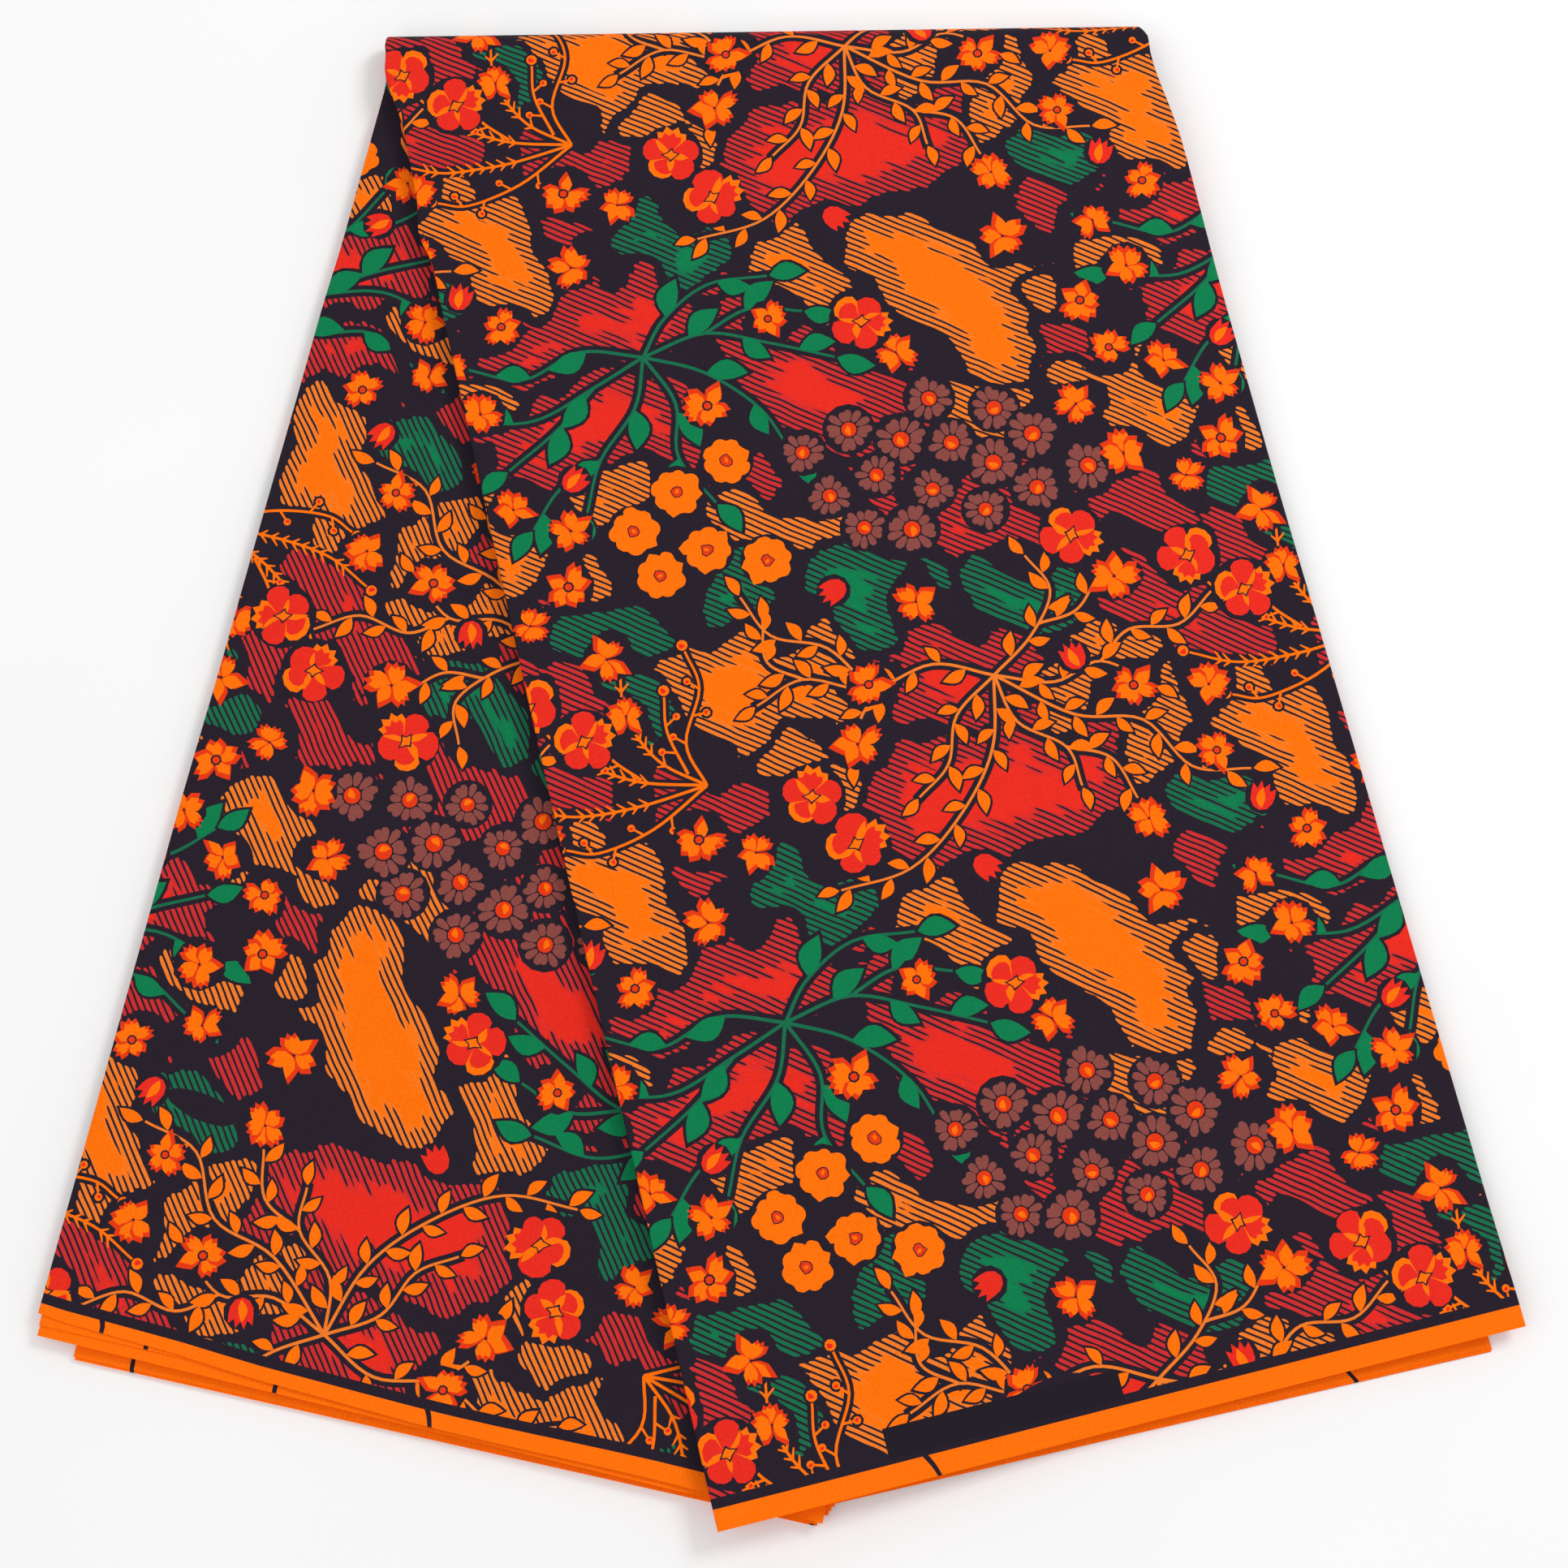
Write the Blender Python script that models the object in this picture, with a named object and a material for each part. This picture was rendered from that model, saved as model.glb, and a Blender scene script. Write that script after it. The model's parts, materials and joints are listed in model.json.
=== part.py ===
"""A folded length of wax printed cotton, laid flat in two fanned wings.

The cloth is about 1.15 m wide and 5.5 m long. It is laid to and fro in panels, which gives a long flat stack, and the
stack is doubled over once. The doubling fold runs across the top. The two halves below it swing apart as the wings of
a letter A, and the right wing lies on the left one. Each wing is a printed top sheet, a rounded stack of hidden layers
and a lower leaf that shows along the selvedges.

Metres, +Z up, X across the wings, Y from the selvedges towards the top fold. The origin is on the surface that the
cloth lies on, under the middle of its box.
"""

import math

import bpy
from mathutils import Vector

# The doubling fold across the top: the line that the cloth turns about
FOLD_MIDDLE = Vector((-0.00611, 0.29018))
FOLD_LENGTH = 0.3121
FOLD_SLOPE = math.radians(0.87)

# Thicknesses, from a wing's upper surface downwards
SHEET = 0.0012
GAP = 0.0003
HIDDEN_LAYERS = 0.0030
LOWER_LEAF = 0.0016
WING_HEIGHT = SHEET + GAP + HIDDEN_LAYERS + GAP + LOWER_LEAF
HIDDEN_FROM = SHEET + GAP
LEAF_FROM = HIDDEN_FROM + HIDDEN_LAYERS + GAP
FULL_HEIGHT = 2 * WING_HEIGHT + GAP
FOLD_RADIUS = FULL_HEIGHT / 2

# Each piece's two long edges, from the ends of the doubling fold: length in metres and swing from straight down in
# degrees, positive to the right
RIGHT_SHEET = ((0.6033, 13.39), (0.5332, 13.54))
RIGHT_UPPER_HIDDEN = ((0.5960, 13.75), (0.5270, 12.70))
RIGHT_MIDDLE_HIDDEN = ((0.5970, 13.85), (0.5300, 12.50))
RIGHT_LOWER_HIDDEN = ((0.5975, 14.00), (0.5335, 12.30))
RIGHT_LEAF = ((0.5982, 14.35), (0.5394, 12.15))
LEFT_SHEET = ((0.5216, -12.53), (0.6061, -12.90))
LEFT_UPPER_HIDDEN = ((0.5245, -12.35), (0.6050, -13.05))
LEFT_MIDDLE_HIDDEN = ((0.5270, -12.30), (0.6045, -13.10))
LEFT_LOWER_HIDDEN = ((0.5291, -12.30), (0.6040, -13.20))
LEFT_LEAF = ((0.5352, -10.77), (0.6059, -12.98))

# How far each wing's outer edge wanders from straight: distance from the fold, offset to the right
RIGHT_WING_INNER_WANDER = (
    (0.000, 0.0000),
    (0.013, -0.0020),
    (0.040, -0.0002),
    (0.085, -0.0028),
    (0.120, -0.0008),
    (0.200, 0.0000),
    (0.300, -0.0012),
    (0.400, -0.0003),
    (0.700, 0.0000),
)
RIGHT_WING_OUTER_WANDER = (
    (0.000, 0.0000),
    (0.010, -0.0010),
    (0.048, 0.0015),
    (0.120, 0.0005),
    (0.700, 0.0000),
)
LEFT_WING_OUTER_WANDER = (
    (0.000, 0.0000),
    (0.015, 0.0032),
    (0.080, 0.0032),
    (0.120, 0.0023),
    (0.250, 0.0015),
    (0.330, 0.0006),
    (0.700, 0.0003),
)

# Soft rises of the right wing's top sheet: x, y, reach along X, reach along Y, height
RIGHT_WING_RISES = (
    (0.2700, -0.2180, 0.060, 0.045, 0.0018),
    (0.0000, -0.2850, 0.050, 0.030, 0.0006),
    (-0.0950, 0.0700, 0.022, 0.130, 0.0006),
    (0.1200, 0.0400, 0.070, 0.120, 0.0005),
)

# The right wing settles from the left wing's back to the surface over this run
SAG_RUN = 0.100

# Rolled margins: the sheet turns down over the stack at its folds
ROLL_RADIUS = 0.0018
ROLL_DROP = 0.0030
ROLL_STEPS = 3
STACK_INSET = SHEET + GAP

# How far a fold of the hidden layers bulges past the groove beside it
RIB_BULGE = 0.0005

# Mesh steps across a wing, along it and round the doubling fold
STEPS_ACROSS = 20
STEPS_ALONG = 16
STEPS_ROUND = 6

COLOURS = {
    "printed": (0.32, 0.055, 0.016, 1.0),
    "hidden": (0.90, 0.16, 0.004, 1.0),
    "leaf": (0.80, 0.12, 0.003, 1.0),
}
CLOTH_ROUGHNESS = 0.85


def fold_ends():
    """The left and right ends of the doubling fold, and the direction away from the wings."""
    along = Vector((math.cos(FOLD_SLOPE), math.sin(FOLD_SLOPE)))
    half = along * (FOLD_LENGTH / 2)
    outward = Vector((-along.y, along.x))
    return FOLD_MIDDLE - half, FOLD_MIDDLE + half, outward


FOLD_LEFT, FOLD_RIGHT, OUTWARD = fold_ends()


def down(swing):
    """The direction of an edge that swings from straight down by this many degrees."""
    turn = math.radians(swing)
    return Vector((math.sin(turn), -math.cos(turn)))


def read_table(rows, distance):
    """The value of a two column table at a distance, eased between its rows."""
    for (start, first), (end, last) in zip(rows, rows[1:]):
        if distance <= end:
            share = max(0.0, distance - start) / (end - start)
            eased = share * share * (3 - 2 * share)
            return first + (last - first) * eased
    return rows[-1][1]


def eased_fall(share):
    """1 at 0 or less, 0 at 1 or more, smooth between."""
    share = min(max(share, 0.0), 1.0)
    return 1 - share * share * (3 - 2 * share)


def right_support(point):
    """The height that the right wing rests at: on the left wing, then down to the surface."""
    edge = down(LEFT_SHEET[1][1])
    to_point = point - FOLD_RIGHT
    beyond = to_point.x * -edge.y + to_point.y * edge.x
    return (WING_HEIGHT + GAP) * eased_fall(beyond / SAG_RUN)


def rise(point, rows):
    """The height of the soft rises at a point."""
    total = 0.0
    for x, y, reach_x, reach_y, height in rows:
        spread = math.hypot((point.x - x) / reach_x, (point.y - y) / reach_y)
        total += height * eased_fall(spread)
    return total


class Wing:
    """Places points on one wing, given how far across, how far along and how deep they lie."""

    def __init__(self, is_right):
        self.is_right = is_right

    def upper_height(self, point):
        if self.is_right:
            return right_support(point) + WING_HEIGHT
        return WING_HEIGHT

    def wander(self, is_left_edge, distance):
        if self.is_right:
            rows = RIGHT_WING_INNER_WANDER if is_left_edge else RIGHT_WING_OUTER_WANDER
            return read_table(rows, distance)
        return read_table(LEFT_WING_OUTER_WANDER, distance) if is_left_edge else 0.0

    def plan(self, edges, across, inset, along):
        """The point on the ground: across from 0 to 1, along from 0 at the fold to 1 at the selvedge."""
        (left_run, left_swing), (right_run, right_swing) = edges
        start = FOLD_LEFT + down(left_swing) * (left_run * along)
        end = FOLD_RIGHT + down(right_swing) * (right_run * along)
        start.x += self.wander(True, left_run * along)
        end.x += self.wander(False, right_run * along)
        return start.lerp(end, across) + (end - start).normalized() * inset

    def place(self, edges, across, inset, along, depth, rows=()):
        """The point in space. A negative along is an angle round the doubling fold."""
        point = self.plan(edges, across, inset, max(along, 0.0))
        if along >= 0:
            height = self.upper_height(point) - depth + rise(point, rows)
            return (point.x, point.y, height)
        radius = FOLD_RADIUS - depth
        point = point + OUTWARD * (radius * math.sin(-along))
        return (point.x, point.y, FOLD_RADIUS + radius * math.cos(along))


RIGHT_WING = Wing(True)
LEFT_WING = Wing(False)


def stations(turns_over, first=0.0):
    """Positions along a wing, with the turn over the doubling fold first where the piece takes it."""
    turn = [-math.pi * (1 - step / STEPS_ROUND) for step in range(STEPS_ROUND)] if turns_over else []
    return turn + [first + (1 - first) * step / STEPS_ALONG for step in range(STEPS_ALONG + 1)]


def cloth_object(name, vertices, faces, colour):
    """A mesh object with its own cloth material."""
    mesh = bpy.data.meshes.new(name)
    mesh.from_pydata(vertices, [], faces)
    mesh.validate()
    mesh.shade_smooth()
    mesh.set_sharp_from_angle(angle=math.radians(40))
    material = bpy.data.materials.new(name + "_cotton")
    material.use_nodes = True
    shader = material.node_tree.nodes["Principled BSDF"]
    shader.inputs["Base Color"].default_value = COLOURS[colour]
    shader.inputs["Roughness"].default_value = CLOTH_ROUGHNESS
    shader.inputs["Metallic"].default_value = 0.0
    mesh.materials.append(material)
    piece = bpy.data.objects.new(name, mesh)
    bpy.context.scene.collection.objects.link(piece)
    return piece


def joined_rings(rings, faces):
    """Quads between each pair of neighbouring closed rings of vertex numbers."""
    for upper, lower in zip(rings, rings[1:]):
        count = len(upper)
        for index in range(count):
            following = (index + 1) % count
            faces.append((upper[index], lower[index], lower[following], upper[following]))


def grid_faces(first, columns, rows, faces, upward):
    """Quads of a grid of vertices that starts at this number, row by row."""
    for row in range(rows - 1):
        for column in range(columns - 1):
            corner = first + row * columns + column
            quad = (corner, corner + columns, corner + columns + 1, corner + 1)
            faces.append(quad if upward else quad[::-1])


def grid_rim(first, columns, rows):
    """The vertex numbers round a grid, in one turn."""
    bottom_row = first + (rows - 1) * columns
    rim = [first + row * columns for row in range(rows)]
    rim += [bottom_row + column for column in range(1, columns)]
    rim += [first + row * columns + columns - 1 for row in range(rows - 2, -1, -1)]
    rim += [first + column for column in range(columns - 2, 0, -1)]
    return rim


def stack(name, wing, leaves, colour, turns_over, end_gap):
    """One solid of leaves laid on each other, each with its own outline and a rounded rim.

    leaves has a row for each leaf: edges, upper depth, lower depth.
    """
    along = stations(turns_over)
    shares = [step / STEPS_ACROSS for step in range(STEPS_ACROSS + 1)]
    vertices = []
    faces = []

    def grid(edges, depth, pulled_in):
        """Adds the grid of one level. Its rim is pulled in by a length on every side."""
        first = len(vertices)
        length = (edges[0][0] + edges[1][0]) / 2
        for row, station in enumerate(along):
            is_start = row == 0
            is_end = row == len(along) - 1
            shifted = station
            if is_end:
                shifted = station - pulled_in / length
            elif is_start and not turns_over:
                shifted = station + (pulled_in + end_gap) / length
            elif is_start:
                shifted = station + pulled_in / (FOLD_RADIUS - depth)
            for share in shares:
                inset = (STACK_INSET + pulled_in) * (1 - 2 * share)
                vertices.append(wing.place(edges, share, inset, shifted, depth))
        return first

    def rim(edges, depth, pulled_in):
        """Adds only the rim of one level, and gives its vertex numbers."""
        kept = len(vertices)
        first = grid(edges, depth, pulled_in)
        wanted = grid_rim(first, len(shares), len(along))
        points = [vertices[index] for index in wanted]
        del vertices[kept:]
        vertices.extend(points)
        return list(range(kept, kept + len(points)))

    top_edges, top_depth, _ = leaves[0]
    top = grid(top_edges, top_depth, RIB_BULGE)
    rings = [grid_rim(top, len(shares), len(along))]
    for index, (edges, upper, lower) in enumerate(leaves):
        quarter = (lower - upper) / 4
        if index:
            rings.append(rim(edges, upper, RIB_BULGE))
        rings.append(rim(edges, upper + quarter, 0.0))
        rings.append(rim(edges, lower - quarter, 0.0))
        if index < len(leaves) - 1:
            rings.append(rim(edges, lower - quarter / 4, RIB_BULGE))
    bottom_edges, _, bottom_depth = leaves[-1]
    bottom = grid(bottom_edges, bottom_depth, RIB_BULGE)
    rings.append(grid_rim(bottom, len(shares), len(along)))
    grid_faces(top, len(shares), len(along), faces, upward=True)
    joined_rings(rings, faces)
    grid_faces(bottom, len(shares), len(along), faces, upward=False)
    return cloth_object(name, vertices, faces, colour)


def sheet_section():
    """The top sheet's section from its rolled left margin to its right one.

    Each row: share across, inset and depth of the outer face, then inset and depth of the inner face.
    """
    rows = [(0.0, 0.0, ROLL_DROP, SHEET, ROLL_DROP)]
    inner_radius = ROLL_RADIUS - SHEET
    for step in range(ROLL_STEPS + 1):
        turn = math.pi / 2 * step / ROLL_STEPS
        outer_inset = ROLL_RADIUS * (1 - math.cos(turn))
        outer_depth = ROLL_RADIUS * (1 - math.sin(turn))
        inner_inset = ROLL_RADIUS - inner_radius * math.cos(turn)
        inner_depth = ROLL_RADIUS - inner_radius * math.sin(turn)
        rows.append((0.0, outer_inset, outer_depth, inner_inset, inner_depth))
    rows += [(step / STEPS_ACROSS, 0.0, 0.0, 0.0, SHEET) for step in range(1, STEPS_ACROSS)]
    mirrored = [(1.0, -a, b, -c, d) for _, a, b, c, d in reversed(rows[: ROLL_STEPS + 2])]
    return rows + mirrored


def top_sheet(name, wing, edges, rises, turns_over, end_gap):
    """A wing's top sheet as a wall, turned down at both long sides."""
    length = (edges[0][0] + edges[1][0]) / 2
    along = stations(turns_over, 0.0 if turns_over else end_gap / length)
    section = sheet_section()
    outer = []
    inner = []
    for station in along:
        for share, inset, depth, inner_inset, inner_depth in section:
            outer.append(wing.place(edges, share, inset, station, depth, rises))
            inner.append(wing.place(edges, share, inner_inset, station, inner_depth, rises))
    vertices = outer + inner
    faces = []
    columns = len(section)
    grid_faces(0, columns, len(along), faces, upward=True)
    grid_faces(len(outer), columns, len(along), faces, upward=False)
    joined_rings([grid_rim(0, columns, len(along)), grid_rim(len(outer), columns, len(along))], faces)
    return cloth_object(name, vertices, faces, "printed")


def clear_scene():
    for old in list(bpy.data.objects):
        bpy.data.objects.remove(old, do_unlink=True)


def hidden_leaves(upper, middle, lower):
    """Three leaves that share the hidden layers' height."""
    third = HIDDEN_LAYERS / 3
    return tuple(
        (edges, HIDDEN_FROM + third * index, HIDDEN_FROM + third * (index + 1))
        for index, edges in enumerate((upper, middle, lower))
    )


def right_wing():
    """The wing that lies on top. Its sheet and hidden layers turn over the doubling fold."""
    top_sheet("right_wing_sheet", RIGHT_WING, RIGHT_SHEET, RIGHT_WING_RISES, True, 0.0)
    hidden = hidden_leaves(RIGHT_UPPER_HIDDEN, RIGHT_MIDDLE_HIDDEN, RIGHT_LOWER_HIDDEN)
    stack("right_wing_hidden_layers", RIGHT_WING, hidden, "hidden", True, 0.0)
    leaf = ((RIGHT_LEAF, LEAF_FROM, WING_HEIGHT),)
    stack("right_wing_lower_leaf", RIGHT_WING, leaf, "leaf", False, GAP)


def left_wing():
    """The wing underneath, which lies on the surface all over."""
    top_sheet("left_wing_sheet", LEFT_WING, LEFT_SHEET, (), False, GAP)
    hidden = hidden_leaves(LEFT_UPPER_HIDDEN, LEFT_MIDDLE_HIDDEN, LEFT_LOWER_HIDDEN)
    stack("left_wing_hidden_layers", LEFT_WING, hidden, "hidden", False, GAP)
    leaf = ((LEFT_LEAF, LEAF_FROM, WING_HEIGHT),)
    stack("left_wing_lower_leaf", LEFT_WING, leaf, "leaf", False, GAP)


clear_scene()
right_wing()
left_wing()
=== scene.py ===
"""The looks of a folded length of wax printed cotton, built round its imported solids.

The cloth lies in two fanned wings. Each wing has a printed top sheet over a stack of folded leaves, and the
right wing turns over the doubling fold at the top. The print is a layout of ordinary flowers and leaves.

The solids are in metres, +Z up. The print is drawn flat in millimetres, where a point is a complex number:
its real part runs along the selvedge, and its imaginary part runs up from there to the doubling fold.
"""

import cmath
import json
import math
import random

import bpy
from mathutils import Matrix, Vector
from mathutils.geometry import delaunay_2d_cdt
from mathutils.kdtree import KDTree

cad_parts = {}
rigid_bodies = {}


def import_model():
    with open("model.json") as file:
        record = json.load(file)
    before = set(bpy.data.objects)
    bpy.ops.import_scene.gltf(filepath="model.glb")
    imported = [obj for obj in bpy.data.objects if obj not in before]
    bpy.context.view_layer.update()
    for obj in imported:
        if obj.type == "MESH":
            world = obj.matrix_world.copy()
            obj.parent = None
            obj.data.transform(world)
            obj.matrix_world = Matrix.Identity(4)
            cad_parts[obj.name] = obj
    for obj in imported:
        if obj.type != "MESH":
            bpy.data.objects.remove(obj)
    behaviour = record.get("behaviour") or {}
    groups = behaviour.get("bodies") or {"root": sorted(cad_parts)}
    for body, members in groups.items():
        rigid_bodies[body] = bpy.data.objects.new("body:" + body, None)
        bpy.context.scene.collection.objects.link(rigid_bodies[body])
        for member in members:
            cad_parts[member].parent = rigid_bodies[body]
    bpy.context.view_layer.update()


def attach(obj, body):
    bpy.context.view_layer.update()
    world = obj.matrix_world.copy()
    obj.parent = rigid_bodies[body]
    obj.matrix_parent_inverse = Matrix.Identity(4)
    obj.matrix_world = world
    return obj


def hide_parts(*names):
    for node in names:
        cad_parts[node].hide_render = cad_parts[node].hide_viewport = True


bl_info = {
    "name": "Folded wax print cotton",
    "version": (1, 0, 0),
    "blender": (4, 5, 0),
    "location": "View3D > Sidebar > Wax print",
    "description": "Builds a folded length of wax printed cotton, its leaves, its print and a plain stage",
    "category": "Object",
}

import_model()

MILLIMETRE = 0.001

# The doubling fold and the two wings, as in the solids. The right wing lies on the left one, and sags from
# its edge down to the surface
FOLD_MIDDLE = Vector((-0.00611, 0.29018))
FOLD_LENGTH = 0.3121
FOLD_SLOPE = math.radians(0.87)
WING_HEIGHT = 0.0064
WING_GAP = 0.0003
FOLD_RADIUS = (2 * WING_HEIGHT + WING_GAP) / 2
SAG_RUN = 0.100

# The flat width of the panels between their folds
PANEL_WIDTH = 0.305

# Each piece's two long edges, from the ends of the doubling fold: length in metres, and swing from straight
# down in degrees, positive to the right. The folded leaves are listed from the top
RIGHT_SHEET = ((0.6033, 13.39), (0.5332, 13.54))
LEFT_SHEET = ((0.5216, -12.53), (0.6061, -12.90))
RIGHT_LEAVES = (
    ((0.6010, 13.50), (0.5322, 13.30)), ((0.5960, 13.75), (0.5270, 12.70)),
    ((0.5965, 13.80), (0.5287, 12.55)), ((0.5970, 13.85), (0.5300, 12.50)),
    ((0.5973, 13.95), (0.5325, 12.40)), ((0.5975, 14.00), (0.5335, 12.30)),
    ((0.6028, 14.20), (0.5380, 12.20)), ((0.6030, 14.30), (0.5390, 12.15)),
    ((0.6032, 14.35), (0.5394, 12.15)),
)
LEFT_LEAVES = (
    ((0.5254, -12.45), (0.5975, -12.56)), ((0.5292, -12.36), (0.6050, -13.10)),
    ((0.5277, -12.34), (0.5992, -12.62)), ((0.5283, -12.32), (0.6010, -12.68)),
    ((0.5286, -12.30), (0.6030, -12.95)), ((0.5289, -12.30), (0.6042, -13.12)),
    ((0.5340, -10.85), (0.6050, -13.10)), ((0.5350, -10.84), (0.6056, -13.00)),
)

# How far the wings' edges wander from straight: distance from the fold, offset to the right
RIGHT_WING_INNER_WANDER = (
    (0.000, 0.0000), (0.013, -0.0025), (0.038, 0.0000), (0.055, -0.0005),
    (0.068, -0.0010), (0.084, -0.0033), (0.100, -0.0006), (0.130, -0.0010),
    (0.300, -0.0015), (0.355, -0.0014), (0.500, -0.0009), (0.700, 0.0000),
)
RIGHT_WING_OUTER_WANDER = (
    (0.000, 0.0000), (0.010, -0.0010), (0.048, 0.0015), (0.120, 0.0005), (0.700, 0.0000))
LEFT_WING_OUTER_WANDER = (
    (0.000, 0.0000), (0.015, 0.0032), (0.080, 0.0032), (0.120, 0.0023),
    (0.250, 0.0015), (0.330, 0.0006), (0.700, 0.0003),
)

# Soft rises of the right wing's top sheet: x, y, reach along X, reach along Y, height
RIGHT_WING_RISES = (
    (0.2700, -0.2180, 0.060, 0.045, 0.0018),
    (0.0000, -0.2850, 0.050, 0.030, 0.0006),
    (-0.0950, 0.0700, 0.022, 0.130, 0.0006),
    (0.1200, 0.0400, 0.070, 0.120, 0.0005),
)
# Soft ridges and troughs of the two top sheets: x, y of the start, x, y of the end, half width, height
RIGHT_CREASES = (
    (-0.148, 0.255, -0.105, 0.215, 0.010, 0.0007),
    (-0.140, 0.205, -0.085, 0.190, 0.008, -0.0005),
    (-0.118, 0.120, -0.060, 0.060, 0.012, 0.0005),
    (-0.030, 0.240, 0.070, 0.215, 0.014, -0.0004),
    (0.060, -0.030, 0.190, -0.075, 0.016, 0.0005),
    (0.020, -0.170, 0.120, -0.200, 0.013, -0.0005),
    (0.180, 0.100, 0.215, -0.060, 0.010, 0.0005),
    (0.000, 0.080, 0.090, 0.095, 0.012, 0.0004),
    (0.215, -0.130, 0.255, -0.205, 0.012, 0.0006),
)
LEFT_CREASES = (
    (-0.210, 0.040, -0.150, -0.010, 0.012, 0.0006),
    (-0.255, -0.130, -0.180, -0.160, 0.014, -0.0005),
    (-0.120, -0.150, -0.040, -0.210, 0.015, 0.0006),
    (-0.165, 0.190, -0.140, 0.120, 0.008, -0.0005),
    (-0.090, 0.010, -0.075, -0.100, 0.010, 0.0005),
)

# The doubling fold's ends are drawn in a little where the cloth turns over: left, right
CORNER_PULL = (0.0004, 0.0034)
# How far below the doubling fold the creases fade out, in millimetres
CREASE_FADE = 12

# The folded leaves: how deep the outer leaf reaches, how many lie under it, how many of a wing's listed
# leaves lie over its lowest ones, and the air between two
OUTER_LEAF = 0.0016
INNER_LEAVES = 8
FOLDED_LEAVES = 6
LEAF_CLEARANCE = 0.00004
# How much lower the leaf inside the outer one lies, clear of the right sheet's troughs
TROUGH_ROOM = 0.0002

# The left sheet's selvedge bows out: distance along it, how far above the straight line, in millimetres
LEFT_SELVEDGE_BOW = ((0, 0.3), (10, -0.45), (45, -0.65), (90, -1.9), (140, -2.0), (255, 1.5), (310, 2.0))

# The selvedge border, in millimetres: orange up to the line, the line's width, and its start, end and step
BORDER_LINE_FROM = 8.0
BORDER_LINE_WIDTH = 3.8
BORDER_REACH = (-20, 340, 15)
# On the left sheet the border widens: the line's height at the left end, and its rise for each millimetre
LEFT_LINE_FROM = 4.1
LEFT_LINE_RISE = 0.0105
# The bare dark block over the right sheet's border: left, right, lower, upper
DARK_BLOCK = (66.5, 156.0, 10.0, 21.0)
# Register marks across the border: foot, head, width at the head
RIGHT_TICKS = ((83.6, -1.5, 79.1, 9.0, 2.0),)
LEFT_TICKS = ((24.8, -1.2, 23.3, 5.0, 2.1), (151.8, -2.5, 147.5, 6.5, 2.1))

# The register marks on the folded leaves: their width, their repeat along the selvedge, how far each leaf is
# shifted along it, in metres, and how far the marks slant to the left for each metre up
MARK_WIDTH = 0.0018
MARK_REPEAT = 0.2806
RIGHT_LEAF_SHIFTS = (-0.09, -0.03, -0.061, -0.092, -0.123, -0.154, -0.2494, -0.2494, -0.2494)
LEFT_LEAF_SHIFTS = (-0.0412, -0.0936, -0.127, -0.233, -0.189, -0.215, -0.0240, -0.0232)
RIGHT_MARK_SLANT = 0.6
LEFT_MARK_SLANT = 0.05

# One repeat of the print and how far the next one up is shifted, in millimetres
TILE_ACROSS = 265
TILE_UP = 272
TILE_DRIFT = 8.7
REPEAT_ROWS = range(-2, 5)
REPEAT_COLUMNS = range(-3, 5)
# Where the repeat starts on each sheet
RIGHT_PRINT_START = complex(-30, -62)
LEFT_PRINT_START = complex(322, 640)

# Shapes of the print that lie this far under the right wing, in metres, aren't cut into the left sheet
HIDDEN_BEYOND = 0.012

# Measures of the print, in millimetres. The ground that shows round a motif, beside a stem, and round the
# small leaves of the vine
HALO = 1.3
STEM_HALO = 1.8
FINE_HALO = 0.95
# A stem's width at its tip as a share of that at its foot, and the spacings of thorns and of berries
STEM_TAPER = 0.75
THORN_SPACING = 4.6
BERRY_SPACING = 11
# The ground that shows round a patch, and the area of the least patch
PATCH_GAP = 2.0
LEAST_PATCH = 110
# The red patches' depths are counted smaller, so that their hatched lines run deeper
RED_DEPTH_SHARE = 0.78
# How far the patches keep from the middles of the flowers that stand on the bare ground
STAR_CLEARING = 11.0
POPPY_CLEARING = 12.5
DAISY_CLEARING = 9.5
ROUND_CLEARING = 10.5

# The sheets' meshes, in millimetres: points this near are one, how far the loose points start from the
# corner, and the distance between the points that stand for a patch's outline
MERGE_WITHIN = 0.0001
GRID_DRIFT = 0.37
SAMPLE_STEP = 0.5
# How many steps the mesh's lines have: up a long edge, along the selvedge, round a rolled margin, round the
# doubling fold, and along each line there
EDGE_STEPS = 90
SELVEDGE_STEPS = 60
ROLL_STEPS = 6
FOLD_STEPS = 12
FOLD_LINE_STEPS = 40
# In millimetres: how far the lines along the fold reach past its ends, how far short of it a long edge's
# points stop, and the least distance that they keep from it
FOLD_LINE_PAST = 8
EDGE_SHORT = 1.0
LEAST_TO_FOLD = 0.4
# The lower face's mesh step, as a multiple of the upper one's
UNDER_STEPS = 3
# The least angle of a sharp edge, in degrees
SHARP_FROM = 50

# The stage: the floor's size, the sky's strength, and the lamps' names, places, turns, sizes and powers
FLOOR_SIZE = 12
SKY_STRENGTH = 0.74
LAMPS = (
    ("key", (1.1, 0.8, 1.4), (-26, 36, 0), 0.6, 13.0),
    ("fill", (-1.2, -0.6, 1.6), (22, -36, 0), 1.8, 7.0),
)
# The camera over the cloth: its place, its tilt in degrees, its lens and sensor in millimetres
CAMERA_PLACE = (0.00107, -0.2612, 1.0499)
CAMERA_TILT = 13.0
CAMERA_LENS = 63.7
CAMERA_SENSOR = 36.0


def linear(red, green, blue):
    """A colour given as 0 to 255 display values, as linear light."""
    return tuple(value / 255 / 12.92 if value < 11 else ((value / 255 + 0.055) / 1.055) ** 2.4
                 for value in (red, green, blue))


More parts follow.
